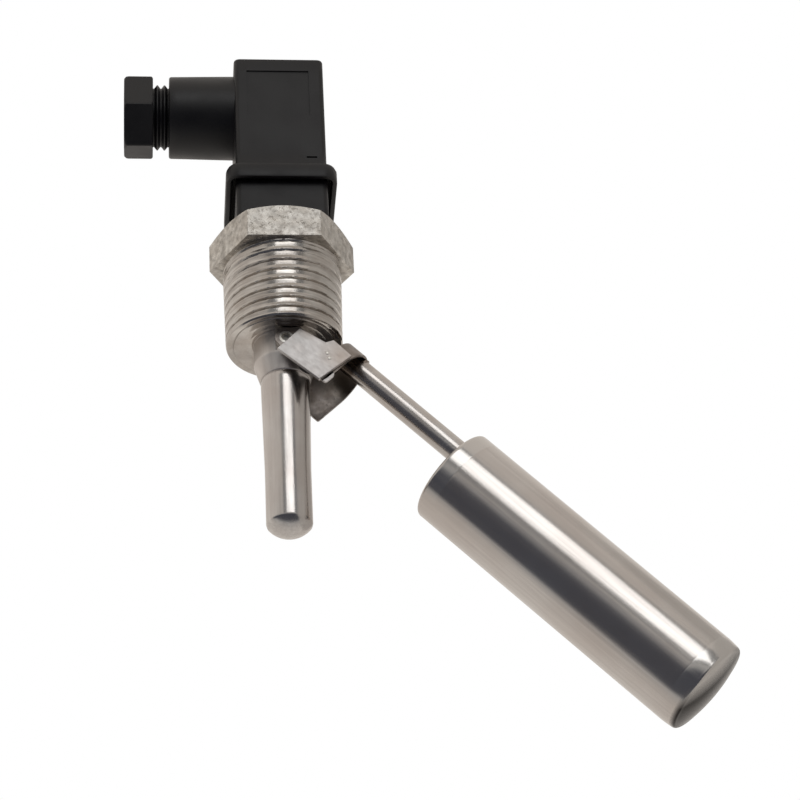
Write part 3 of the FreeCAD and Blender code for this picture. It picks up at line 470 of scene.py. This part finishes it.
# Cuts a box out of a piece for good and leaves no cutter behind.
def carve(piece, lows, highs, sharp):
    form = bmesh.new()
    bmesh.ops.create_cube(form, size=1.0)
    for vert in form.verts:
        for i in range(3):
            vert.co[i] = (lows[i] if vert.co[i] < 0 else highs[i]) * mm
    mesh = bpy.data.meshes.new("cutter")
    form.to_mesh(mesh)
    form.free()
    cutter = bpy.data.objects.new("cutter", mesh)
    bpy.context.scene.collection.objects.link(cutter)
    cut = piece.modifiers.new("cut", "BOOLEAN")
    cut.operation = "DIFFERENCE"
    cut.solver = "EXACT"
    cut.object = cutter
    bpy.context.view_layer.update()
    made = bpy.data.meshes.new_from_object(piece.evaluated_get(bpy.context.evaluated_depsgraph_get()))
    piece.modifiers.remove(cut)
    old = piece.data
    made.name = old.name
    piece.data = made
    bpy.data.meshes.remove(old)
    bpy.data.objects.remove(cutter)
    bpy.data.meshes.remove(mesh)
    for face in piece.data.polygons:
        face.use_smooth = True
    piece.data.set_sharp_from_angle(angle=math.radians(sharp))


# A carried-over CAD node gets its material and, where it shows, soft edges.
def smoothCad(node, material, bevel=0.0):
    piece = nodes[node]
    piece.data.materials.clear()
    piece.data.materials.append(material)
    if bevel:
        addBevel(piece, bevel)
    return piece


# Turns a piece made along X to stand along +Z on the gland's axis.
def upright(x):
    return Matrix.Translation(Vector((x * mm, 0, 0))) @ Matrix.Rotation(math.radians(-90), 4, "Y")


# The lever's own axes: X along the float rod, the web side at -Z, out lies below the hinge.
def onLever(out=0.0):
    place = Matrix.Translation(Vector(pivot)) @ Matrix.Rotation(math.radians(leverLean), 4, "Y")
    return place @ Matrix.Translation(Vector((0, 0, -out * mm)))


print("helpers ready")

cameraView = {"place": (291.53, 402.08, 23.71), "turn": (1.2466, 84.8672, 57.8922), "lens": 127.18}


def makeCamera():
    data = bpy.data.cameras.new("camera")
    data.lens = cameraView["lens"]
    data.clip_start = 0.01
    camera = bpy.data.objects.new("camera", data)
    camera.location = Vector(cameraView["place"]) * mm
    camera.rotation_euler = [math.radians(v) for v in cameraView["turn"]]
    bpy.context.scene.collection.objects.link(camera)
    bpy.context.scene.camera = camera


floorSizes = {"drop": 620.0, "radius": 900.0, "tone": (0.90, 0.90, 0.89), "cloud": (0.87, 0.87, 0.86)}


def makeFloor():
    form = bmesh.new()
    bmesh.ops.create_circle(form, cap_ends=True, segments=96, radius=floorSizes["radius"] * mm)
    mesh = bpy.data.meshes.new("floor")
    form.to_mesh(mesh)
    form.free()
    material, shader = newMaterial("pale_floor", floorSizes["tone"], 0.0, 0.8)
    cloud = noiseField(material, (1, 1, 1), 3.0, 2.0)
    tone = mixColour(material, cloud, "Fac", floorSizes["tone"], floorSizes["cloud"])
    link(material, tone, 2, shader, "Base Color")
    mesh.materials.append(material)
    floor = bpy.data.objects.new("floor", mesh)
    floor.location = (0, 0, -floorSizes["drop"] * mm)
    bpy.context.scene.collection.objects.link(floor)


studio = {
    "boxPlace": (-965, 2250, -168), "boxSize": (1030, 1458), "boxRadiance": 1.82,
    "cardLow": (-2300, -2050), "cardHigh": (-190, 1500), "cardBehind": 1.16, "cardTone": 0.26,
    "darkBearing": 40.0,
    "room": [(0.0, (0.785, 0.735, 0.685)), (0.65, (0.675, 0.635, 0.595)), (0.80, (0.56, 0.535, 0.51)),
             (0.868, (0.57, 0.555, 0.54)), (0.890, (0.46, 0.455, 0.45)), (0.917, (0.19, 0.195, 0.21)),
             (0.941, (0.085, 0.088, 0.105))],
}


# One soft box high on the near side, with a grey card round it that darkens its edges in the steel.
def makeSoftbox():
    s = studio
    width, height = (v * mm for v in s["boxSize"])
    data = bpy.data.lights.new("softbox", "AREA")
    data.shape = "RECTANGLE"
    data.size, data.size_y = width, height
    data.energy = s["boxRadiance"] * math.pi * width * height
    light = bpy.data.objects.new("softbox", data)
    light.location = Vector(s["boxPlace"]) * mm
    light.rotation_euler = (-light.location).to_track_quat("-Z", "Y").to_euler()
    light.visible_camera = False
    bpy.context.scene.collection.objects.link(light)
    form = bmesh.new()
    far = s["boxPlace"][1] * s["cardBehind"]
    (x0, z0), (x1, z1) = s["cardLow"], s["cardHigh"]
    corners = ((x0, z0), (x1, z0), (x1, z1), (x0, z1))
    form.faces.new([form.verts.new((x * mm, far * mm, z * mm)) for x, z in corners])
    mesh = bpy.data.meshes.new("grey_card")
    form.to_mesh(mesh)
    form.free()
    material = bpy.data.materials.new("grey_card")
    material.use_nodes = True
    tree = material.node_tree
    tree.nodes.clear()
    glow = tree.nodes.new("ShaderNodeEmission")
    tone = s["cardTone"]
    glow.inputs["Color"].default_value = (tone, tone, tone, 1)
    glow.inputs["Strength"].default_value = 1.0
    out = tree.nodes.new("ShaderNodeOutputMaterial")
    tree.links.new(glow.outputs["Emission"], out.inputs["Surface"])
    mesh.materials.append(material)
    card = bpy.data.objects.new("grey_card", mesh)
    card.visible_camera = False
    bpy.context.scene.collection.objects.link(card)


# White to look at. For everything else a warm bright room that is dark about the camera's side.
def makeWorld():
    world = bpy.data.worlds.new("room")
    bpy.context.scene.world = world
    world.use_nodes = True
    tree = world.node_tree
    tree.nodes.clear()
    coords = tree.nodes.new("ShaderNodeTexCoord")
    flat = tree.nodes.new("ShaderNodeVectorMath")
    flat.operation = "MULTIPLY"
    flat.inputs[1].default_value = (1, 1, 0)
    tree.links.new(coords.outputs["Generated"], flat.inputs[0])
    level = tree.nodes.new("ShaderNodeVectorMath")
    level.operation = "NORMALIZE"
    tree.links.new(flat.outputs["Vector"], level.inputs[0])
    bearing = math.radians(studio["darkBearing"])
    dark = tree.nodes.new("ShaderNodeVectorMath")
    dark.operation = "DOT_PRODUCT"
    dark.inputs[1].default_value = (math.sin(bearing), math.cos(bearing), 0)
    tree.links.new(level.outputs["Vector"], dark.inputs[0])
    spread = tree.nodes.new("ShaderNodeMapRange")
    spread.inputs["From Min"].default_value = -1.0
    tree.links.new(dark.outputs["Value"], spread.inputs["Value"])
    ramp = tree.nodes.new("ShaderNodeValToRGB")
    stops = studio["room"]
    ramp.color_ramp.elements[0].position = stops[0][0]
    ramp.color_ramp.elements[0].color = (*stops[0][1], 1)
    ramp.color_ramp.elements[1].position = stops[-1][0]
    ramp.color_ramp.elements[1].color = (*stops[-1][1], 1)
    for place, colour in stops[1:-1]:
        ramp.color_ramp.elements.new(place).color = (*colour, 1)
    tree.links.new(spread.outputs["Result"], ramp.inputs["Fac"])
    room = tree.nodes.new("ShaderNodeBackground")
    tree.links.new(ramp.outputs["Color"], room.inputs["Color"])
    plain = tree.nodes.new("ShaderNodeBackground")
    plain.inputs["Color"].default_value = (1, 1, 1, 1)
    plain.inputs["Strength"].default_value = 1.0
    path = tree.nodes.new("ShaderNodeLightPath")
    mix = tree.nodes.new("ShaderNodeMixShader")
    out = tree.nodes.new("ShaderNodeOutputWorld")
    tree.links.new(path.outputs["Is Camera Ray"], mix.inputs["Fac"])
    tree.links.new(room.outputs["Background"], mix.inputs[1])
    tree.links.new(plain.outputs["Background"], mix.inputs[2])
    tree.links.new(mix.outputs["Shader"], out.inputs["Surface"])


makeCamera()
makeFloor()
makeWorld()
makeSoftbox()
bpy.context.scene.view_settings.view_transform = "Standard"
print("camera, floor and light ready")


hexagon = {"across": 22.0, "height": 6.5, "bevelStart": 10.75, "bevelSlope": 30.0, "bore": 6.42, "edge": 0.16,
           "seat": 9.6, "steps": 144}


# The distance from the axis to a hexagon's side at an angle. With no turn a flat faces +Y.
def hexRadius(across, turn=0.0):
    def at(angle):
        part = (angle - turn + math.pi / 6) % (math.pi / 3) - math.pi / 6
        return across / 2 / math.cos(part)
    return at


def makeHexagon():
    h = hexagon
    side = hexRadius(h["across"])
    slope = math.tan(math.radians(h["bevelSlope"]))
    top = -h["height"]
    steps = h["steps"]
    bevel = []
    for i in range(steps):
        angle = math.tau * i / steps
        r = side(angle)
        bevel.append((top + max(0.0, r - h["bevelStart"]) * slope, r * math.cos(angle), r * math.sin(angle)))
    rows = [
        ring(top, h["bore"], steps), ring(top, h["bevelStart"], steps), bevel,
        ring(-0.02, side, steps), ring(0, lambda a: side(a) - 0.03, steps), ring(0, h["seat"], steps),
        ring(top + 0.4, h["bore"] + 1.5, steps),
    ]
    rows.append(rows[0])
    piece = gridPiece("hexagon", rows, steels["hexagon"], fixedBody, sharp=20,
                      stands=["hex_plug"], closed=False)
    addBevel(piece, h["edge"], 3, 25)


thread = {
    "crest": 10.42, "narrowing": 0.020, "pitch": 1.94, "firstRoot": 2.65, "rootBearing": -6.0,
    "rootWide": 0.13, "rootDepth": 0.62, "crown": 0.10, "runOut": 1.9, "fullDepth": 8.0, "end": 16.0,
    "leadIn": 0.4, "leadRadius": 9.85, "wander": 0.018, "steps": 180, "rows": 230,
    "face": [(0.0, 9.15), (-0.10, 9.0), (-0.14, 8.8), (-0.02, 8.72), (-0.02, 7.6), (-0.05, 7.5), (-0.02, 7.4),
             (-0.04, 6.3), (-0.07, 6.2), (-0.03, 6.1), (-0.05, 5.6), (-0.3, 5.1)],
}


# A helical thread with thin roots and slightly crowned crests. It runs out towards the hexagon.
def threadRadius(x, angle):
    t = thread
    crest = t["crest"] - t["narrowing"] * x
    lead = t["end"] - t["leadIn"]
    turned = (angle - math.radians(t["rootBearing"])) / math.tau
    phase = ((x - t["firstRoot"]) / t["pitch"] - turned + 0.5) % 1.0 - 0.5
    away = abs(phase)
    cut = max(0.0, 1.0 - away / t["rootWide"]) ** 0.8
    grown = min(1.0, max(0.0, (x - t["runOut"]) / (t["fullDepth"] - t["runOut"])))
    r = crest - t["rootDepth"] * (0.35 + 0.65 * grown) * cut - t["crown"] * (away * 2) ** 2
    r += t["wander"] * noise.noise(Vector((x * 0.9, math.cos(angle) * 3, math.sin(angle) * 3)))
    if x > lead:
        r = min(r, crest + (t["leadRadius"] - crest) * (x - lead) / t["leadIn"])
    return r


def makeThread():
    t = thread
    steps = t["steps"]
    rows = []
    for i in range(t["rows"] + 1):
        x = t["end"] * i / t["rows"]
        row = []
        for j in range(steps):
            angle = math.tau * j / steps
            r = threadRadius(x, angle)
            row.append((x, r * math.cos(angle), r * math.sin(angle)))
        rows.append(row)
    for back, r in t["face"]:
        rows.append(ring(t["end"] + back, r, steps))
    gridPiece("process_thread_form", rows, steels["thread"], fixedBody, sharp=40,
              stands=["hex_plug"], closed=False)


boss = {"radius": 5.33, "flat": 4.95, "start": 15.5, "flatEnd": 20.0, "end": 20.2, "coneEnd": 23.3,
        "coneRadius": 4.35, "endStep": 0.13}


# The hinge boss: a round end with two milled flats, then a cone down to the tube.
def makeBoss():
    b = boss
    edge = math.acos(b["flat"] / b["radius"])
    corners = []
    for centre in (0, math.pi):
        for i in range(13):
            corners.append(centre - edge + 2 * edge * i / 12)
    for centre in (math.pi / 2, -math.pi / 2):
        span = math.pi / 2 - edge
        for i in range(1, 16):
            corners.append(centre - span + 2 * span * i / 16)
    bearings = sorted(a % math.tau for a in corners)

    def row(x, radius, cut):
        spots = []
        for angle in bearings:
            c = abs(math.cos(angle))
            r = min(radius, cut / c) if cut and c > 0.01 else radius
            spots.append((x, r * math.cos(angle), r * math.sin(angle)))
        return spots

    full, flat, flatEnd = b["radius"], b["flat"], b["flatEnd"]
    rows = [row(b["start"], full + 0.25, flat), row(16.0, full, flat), row(17.0, full, flat),
            row(flatEnd - 0.35, full, flat), row(flatEnd - 0.1, full, flat + 0.12),
            row(flatEnd, full, flat + 0.5), row(flatEnd + 0.02, full, 0), row(b["end"], full - 0.03, 0),
            row(b["end"] + 0.25, full - b["endStep"], 0),
            row(b["coneEnd"] - 0.15, b["coneRadius"] + 0.04, 0), row(b["coneEnd"], b["coneRadius"] - 0.1, 0),
            row(b["coneEnd"], 3.0, 0)]
    gridPiece("hinge_boss", rows, steels["boss"], fixedBody, sharp=24, stands=["hex_plug"])


makeHexagon()
makeThread()
makeBoss()
print("plug made")


stem = {"start": 22.9, "root": 4.25, "taperEnd": 41.0, "tip": 3.9, "dome": 2.0, "edge": 0.25}


def makeStem():
    s = stem
    reach = high("stem_tube")[0]
    ball = (s["tip"] ** 2 + s["dome"] ** 2) / (2 * s["dome"])
    profile = [(s["start"], 0), (s["start"], s["root"] - 0.1), (s["start"] + 0.15, s["root"])]
    for i in range(1, 13):
        t = i / 12
        x = s["start"] + (s["taperEnd"] - s["start"]) * t
        profile.append((x, s["root"] + (s["tip"] - s["root"]) * t))
    half = math.degrees(math.asin(s["tip"] / ball))
    profile.append((reach - s["dome"] - s["edge"], s["tip"]))
    profile += arc(reach - ball, 0, ball, half - 2.0, 0.0, 16)[:-1]
    profile.append((reach, 0))
    lathe("stem_form", profile, steels["tube"], fixedBody, sharp=40, stands=["stem_tube"])


makeStem()
for pin in ("hinge_pin_front", "hinge_pin_rear"):
    smoothCad(pin, steels["plated"], bevel=0.08)
print("stem made")


rod = {"radius": 2.05, "offset": 7.25, "start": 7.8, "end": 37.3, "saddleEnd": 10.77, "archCentre": 3.15,
       "archInner": 5.8, "chamfer": 0.2, "steps": 64}


# The float rod, its end hollowed to fit under the round web.
def makeRod():
    v = rod
    rows = [ring(v["start"], 0, v["steps"])]
    full = v["start"] + v["chamfer"]
    stops = [(v["start"], v["radius"] - v["chamfer"]), (full, v["radius"])]
    for i in range(1, 6):
        stops.append((full + (v["saddleEnd"] - full) * i / 6, v["radius"]))
    stops += [(v["saddleEnd"] - 0.01, v["radius"]), (v["saddleEnd"] + 0.01, v["radius"])]
    for i in range(1, 25):
        stops.append((v["saddleEnd"] + (v["end"] - v["saddleEnd"]) * i / 24, v["radius"]))
    for x, radius in stops:
        row = []
        for _, y, z in ring(x, radius, v["steps"]):
            if x < v["saddleEnd"]:
                web = -math.sqrt(max(0.0, v["archInner"] ** 2 - y * y)) - v["archCentre"] + v["offset"]
                z = max(z, web)
            row.append((x, y, z))
        rows.append(row)
    rows.append(ring(v["end"], 0, v["steps"]))
    gridPiece("float_rod_form", rows, steels["rod"], leverBody, onLever(v["offset"]), 40,
              ["float_rod"])


weldBead = {"start": 10.45, "end": 11.3, "rise": 0.34, "wander": 0.5, "reach": 0.35, "steps": 64}


# The bead that joins the rod to the web's end, uneven as a hand weld is and only on the web's side.
def makeWeld():
    b = weldBead
    r = rod["radius"]
    rows = []
    for i in range(9):
        t = i / 8
        row = []
        for _, y, z in ring(0, 1.0, b["steps"]):
            lump = 1 + b["wander"] * noise.noise(Vector((t * 2, y * 5, z * 5)))
            facing = min(1.0, max(0.0, (-z - b["reach"]) * 2.5))
            swell = r - 0.03 + b["rise"] * facing * math.sin(math.pi * t) * lump
            x = b["start"] + (b["end"] - b["start"]) * t * (1 + 0.12 * noise.noise(Vector((7, y * 3, z * 3))))
            row.append((x, y * swell, z * swell))
        rows.append(row)
    rows.append([(x, y * 0.9, z * 0.9) for x, y, z in rows[-1]])
    rows.insert(0, [(x, y * 0.9, z * 0.9) for x, y, z in rows[0]])
    gridPiece("web_weld", rows, steels["weld"], leverBody, onLever(rod["offset"]), 60)


gusset = {"inner": 5.8, "outer": 6.2, "centre": 3.15, "end": 7.45, "start": 2.9, "lean": 0.726, "edge": 0.06}
lip = {"near": 5.82, "far": 6.2, "start": 10.6, "end": 11.25, "low": -2.0, "high": 0.6, "round": 0.75,
       "edge": 0.05}


# The sloping sheet that fills the far cheek's corner up to the round web.
def makeGusset():
    g = gusset
    rows = []
    for i in range(25):
        angle = math.radians(90 * i / 24)
        row = []
        for radius, atEnd in ((g["outer"], 0), (g["outer"], 1), (g["inner"], 1), (g["inner"], 0)):
            out = g["centre"] + radius * math.sin(angle)
            along = g["end"] if atEnd else min(g["end"] - 0.05, g["start"] + (out - g["centre"]) * g["lean"])
            row.append((along, -radius * math.cos(angle), -out))
        rows.append(row)
    piece = gridPiece("bracket_gusset", rows, steels["sheet"], leverBody, onLever(), 40)
    addBevel(piece, g["edge"])


coverPlate = {"edge": 0.1, "outline": [(0.89, -3.14), (0.69, 2.63), (5.76, 3.68), (6.4, 5.0), (10.77, 4.92),
                                      (10.25, -2.46)]}


# The flat cover plate on the near cheek, with its step beside the web.
def makePlate():
    v = coverPlate
    back, front = low("cover_plate")[1], high("cover_plate")[1]
    rows = [[(along, y, -out) for along, out in v["outline"]] for y in (back, front)]
    piece = gridPiece("cover_plate_form", rows, steels["plate"], leverBody, onLever(), 40,
                      ["cover_plate"])
    addBevel(piece, v["edge"])


cheekTip = {"near": -5.82, "far": -6.18, "start": 9.3, "end": 10.78, "low": -2.38, "high": -0.9,
            "hollow": 1.38, "clip": 0.2}


# The far cheek's nearly square corner, filled out past the sheet's round one.
def makeCheekTip():
    v = cheekTip
    outline = [(v["start"], v["low"]), (v["end"] - v["clip"], v["low"]), (v["end"], v["low"] + v["clip"]),
               (v["end"], v["high"])]
    outline += arc(v["start"], v["high"], v["hollow"], 0, -90, 10)[1:]
    rows = [[(along, y, -out) for along, out in outline] for y in (v["near"], v["far"])]
    gridPiece("cheek_tip", rows, steels["sheet"], leverBody, onLever(), 40)


# The near cheek's rounded end, which stands a little past the cover plate.
def makeLip():
    v = lip
    outline = [(v["start"], v["low"])]
    outline += arc(v["end"] - v["round"], v["low"] + v["round"], v["round"], -90, 0, 10)
    outline += arc(v["end"] - v["round"], v["high"] - v["round"], v["round"], 0, 90, 10)
    outline.append((v["start"], v["high"]))
    rows = [[(along, y, -out) for along, out in outline] for y in (v["near"], v["far"])]
    piece = gridPiece("cheek_lip", rows, steels["plate"], leverBody, onLever(), 40)
    addBevel(piece, v["edge"])


spotWeld = {"places": [(7.5, 2.28), (8.5, 1.8)], "side": 6.9, "radius": 0.34, "rise": 0.07, "steps": 20}


# Two small spot-weld marks on the cover plate.
def makeSpots():
    s = spotWeld
    for number, (along, out) in enumerate(s["places"], start=1):
        spot = leverPoint(along, out, s["side"]) * mm
        place = Matrix.Translation(spot) @ Matrix.Rotation(math.radians(90), 4, "Z")
        profile = [(-0.05, 0), (-0.05, s["radius"]), (0.0, s["radius"]), (s["rise"] * 0.7, s["radius"] * 0.8),
                   (s["rise"], s["radius"] * 0.5), (s["rise"] * 0.5, s["radius"] * 0.2), (s["rise"] * 0.4, 0)]
        lathe("spot_weld_%d" % number, profile, steels["plated"], leverBody, place,
              s["steps"], 40)


floatSizes = {"radius": 8.55, "offset": 3.1, "start": 36.3, "length": 56.5, "topRise": 0.4, "bottomRise": 1.2,
              "topCorner": 0.6, "bottomCorner": 0.6, "easeLength": 2.1, "easeDrop": 0.18,
              "skirt": 3.0, "seam": 0.004, "steps": 128}


# A cap from its domed face to its skirt. The far cap narrows a little before its rim.
def capProfile(rim, away, rise, corner):
    v = floatSizes
    eased = away > 0
    r = v["radius"] - (v["easeDrop"] if eased else 0)
    ball = (r * r + rise ** 2) / (2 * rise)
    spots = [(rim + away * rise, 0)]
    inner = r - corner
    for i in range(1, 15):
        out = inner * i / 14
        spots.append((rim + away * (rise - ball + math.sqrt(ball * ball - out * out)), out))
    edge = spots[-1]
    for i in range(1, 11):
        t = math.radians(90 * i / 10)
        spots.append((edge[0] - away * corner * (1 - math.cos(t)), inner + corner * math.sin(t)))
    if eased:
        rest = v["radius"]
        for i in range(1, 9):
            t = 1 - i / 8
            spots.append((edge[0] - corner - v["easeLength"] * (1 - t), rest - v["easeDrop"] * t ** 1.6))
        r = rest
    else:
        spots.append((rim - away * (corner + 0.1), r))
    spots += [(rim - away * (v["skirt"] - 0.3), r),
              (rim - away * (v["skirt"] - 0.06), r), (rim - away * v["skirt"], r - v["seam"]),
              (rim - away * v["skirt"], r - 0.5), (rim - away * 1.3, r - 0.9), (rim + away * (rise - 0.6), 0)]
    return spots


def makeFloat():
    v = floatSizes
    r = v["radius"]
    near, far = v["start"], v["start"] + v["length"]
    place = onLever(v["offset"])
    caps = (("float_top", near, -1, v["topRise"], v["topCorner"]),
            ("float_bottom", far, 1, v["bottomRise"], v["bottomCorner"]))
    for name, rim, away, rise, corner in caps:
        lathe(name + "_form", capProfile(rim, away, rise, corner), steels["cap"], leverBody,
              place, v["steps"], 40, [name + "_cap"])
    a, b = near + v["skirt"], far - v["skirt"]
    skin = [(a, r - v["seam"]), (a + 0.06, r), (a + 0.3, r)]
    for i in range(1, 24):
        skin.append((a + (b - a) * i / 24, r))
    skin += [(b - 0.3, r), (b - 0.06, r), (b, r - v["seam"]), (b, r - 0.4), (a, r - 0.4)]
    lathe("float_shell_form", skin, steels["float"], leverBody, place, v["steps"], 40,
          ["float_shell"])


makeRod()
makeWeld()
makeGusset()
makeLip()
makePlate()
makeCheekTip()
makeSpots()
makeFloat()
smoothCad("lever_bracket", steels["sheet"], bevel=0.07)
smoothCad("magnet", steels["magnet"])
print("lever made")


shell = {"block": 8.05, "blockRound": 0.9, "topRound": 0.5, "skirt": 9.8, "skirtRound": 2.6,
         "skirtInner": 8.9, "skirtHeight": 3.9, "lip": 0.35, "lipLift": 0.35, "recess": 2.7,
         "screwHole": 1.35, "recessDepth": 2.4, "cavity": 6.9, "roof": 3.4}
panel = {"top": -39.1, "bottom": -28.9, "left": 5.8, "right": -5.4, "deep": 0.22}
latch = {"top": -19.55, "bottom": -19.2, "left": -4.5, "right": -6.4, "deep": 0.5}


def makeHousing():
    s = shell
    top = low("connector_housing")[0]
    rim = high("connector_housing")[0] - s["lipLift"]
    skirtTop = rim - s["skirtHeight"] + s["lipLift"]
    half, skirt, inner = s["block"], s["skirt"], s["skirtInner"]
    rows = [roundLike(top + s["recessDepth"], s["screwHole"]), roundLike(top + s["recessDepth"], s["recess"]),
            roundLike(top + 0.12, s["recess"]), roundLike(top, s["recess"] + 0.12)]
    t = s["topRound"]
    for x, width in ((0, half - t), (t * 0.13, half - t * 0.5), (t * 0.5, half - t * 0.13), (t, half)):
        rows.append(squareRing(top + x, width, s["blockRound"]))
    for i in range(1, 8):
        rows.append(squareRing(top + t + (skirtTop - 0.5 - top - t) * i / 7, half, s["blockRound"]))
    rows += [squareRing(skirtTop - 0.15, half + 0.15, 1.1), squareRing(skirtTop, half + 0.5, 1.5),
             squareRing(skirtTop + 0.15, skirt - 0.75, 2.0), squareRing(skirtTop + 0.5, skirt - 0.25, 2.4),
             squareRing(skirtTop + 1.1, skirt, s["skirtRound"]),
             squareRing(rim - s["lip"], skirt, s["skirtRound"]),
             squareRing(rim - 0.08, skirt - 0.1, s["skirtRound"] - 0.1),
             squareRing(rim, skirt - 0.3, s["skirtRound"] - 0.3),
             squareRing(rim, inner + 0.1, 1.2), squareRing(rim - 0.15, inner, 1.1),
             squareRing(rim - 2.5, inner, 1.1), squareRing(rim - 2.55, s["cavity"], 0.6),
             squareRing(top + s["roof"], s["cavity"], 0.6), roundLike(top + s["roof"], s["screwHole"])]
    rows.append(rows[0])
    piece = gridPiece("housing_form", rows, plastics["black"], fixedBody, sharp=28,
                      stands=["connector_housing"], closed=False)
    for cut in (panel, latch):
        lows = (cut["top"], half - cut["deep"], cut["right"])
        carve(piece, lows, (cut["bottom"], half + 1, cut["left"]), 28)


gland = {"axisX": -34.4, "start": 7.2, "boss": 7.6, "bossTip": 7.4, "bossEnd": 19.7, "neck": 5.9, "root": 5.3,
         "neckEnd": 25.4, "pitch": 1.3, "bore": 4.0, "seal": 4.57, "sealLength": 4.9}


def makeGlandBoss():
    g = gland
    profile = [(g["start"], g["bore"]), (g["start"], g["boss"]), (8.0, g["boss"]), (8.4, g["boss"] - 0.01)]
    for i in range(1, 10):
        t = i / 9
        profile.append((8.4 + (g["bossEnd"] - 8.75) * t, g["boss"] + (g["bossTip"] - g["boss"]) * t))
    profile += [(g["bossEnd"] - 0.1, g["bossTip"] - 0.1), (g["bossEnd"], g["bossTip"] - 0.35),
                (g["bossEnd"], g["root"] + 0.1), (g["bossEnd"] + 0.1, g["root"])]
    x = g["bossEnd"] + 0.25
    while x + g["pitch"] < g["neckEnd"]:
        for part, r in ((0.0, g["root"]), (0.36, g["neck"]), (0.5, g["neck"]), (0.86, g["root"])):
            profile.append((x + part * g["pitch"], r))
        x += g["pitch"]
    back = g["neckEnd"] - g["sealLength"]
    profile += [(g["neckEnd"] - 0.2, g["root"]), (g["neckEnd"], g["root"] - 0.2), (g["neckEnd"], g["seal"]),
                (back, g["seal"]), (back, g["bore"])]
    lathe("gland_boss_form", profile, plastics["black"], fixedBody,
          upright(g["axisX"]), 96, 28, ["connector_housing"])


nut = {"across": 13.2, "turn": 10.0, "start": 22.6, "end": 27.8, "hole": 3.6, "bevel": 0.55, "inner": 5.9,
       "edge": 0.14, "floor": 1.7, "steps": 144}


def makeNut():
    n = nut
    side = hexRadius(n["across"], math.radians(n["turn"]))
    steps = n["steps"]
    corner = n["across"] / math.sqrt(3)

    def trimmed(x, trim):
        return ring(x, lambda a: min(side(a), corner - trim), steps)

    rows = [ring(n["start"], n["inner"] + 0.15, steps), trimmed(n["start"], 0.35),
            trimmed(n["start"] + 0.25, 0.0), trimmed(n["end"] - 0.8, 0.0), trimmed(n["end"] - 0.35, 0.12),
            trimmed(n["end"], n["bevel"]), ring(n["end"], n["hole"] + 0.35, steps),
            ring(n["end"] - 0.3, n["hole"], steps),
            ring(n["end"] - n["floor"], n["hole"], steps), ring(n["end"] - n["floor"], n["inner"], steps)]
    rows.append(rows[0])
    piece = gridPiece("gland_nut_form", rows, plastics["black"], fixedBody,
                      upright(gland["axisX"]), 18, ["gland_nut"], closed=False)
    addBevel(piece, n["edge"], 3, 25)


base = {"height": 8.8, "end": -6.5, "round": 1.0}


def makeBase():
    b = base
    half = high("connector_base")[1]
    top = low("connector_base")[0]
    rows = [squareRing(top, half - 0.4, 0.7), squareRing(top + 0.1, half - 0.1, 0.9),
            squareRing(top + 0.4, half, b["round"])]
    for i in range(1, 7):
        rows.append(squareRing(top + 0.4 + (b["height"] - 0.9) * i / 6, half, b["round"]))
    rows += [squareRing(b["end"] - 0.12, half - 0.12, 0.9), squareRing(b["end"], half - 0.35, 0.7)]
    gridPiece("base_form", rows, plastics["black"], fixedBody, sharp=28,
              stands=["connector_base"])


makeHousing()
makeGlandBoss()
makeNut()
makeBase()
innerLooks = {
    "reed_carrier": plastics["white"], "reed_capsule": glass, "terminal_insert": plastics["grey"],
    "wire_supply": plastics["red"], "wire_return": plastics["blue"], "earth_blade": steels["brass"],
}
for metalPiece in ("reed_lead_upper", "reed_lead_lower", "terminal_screws", "centre_screw", "gland_washer"):
    innerLooks[metalPiece] = steels["plated"]
for number in (1, 2, 3):
    innerLooks["contact_blade_%d" % number] = steels["brass"]
for softPiece in ("profile_gasket", "screw_seal", "gland_seal"):
    innerLooks[softPiece] = plastics["rubber"]
for node, material in innerLooks.items():
    smoothCad(node, material)
print("connector made")
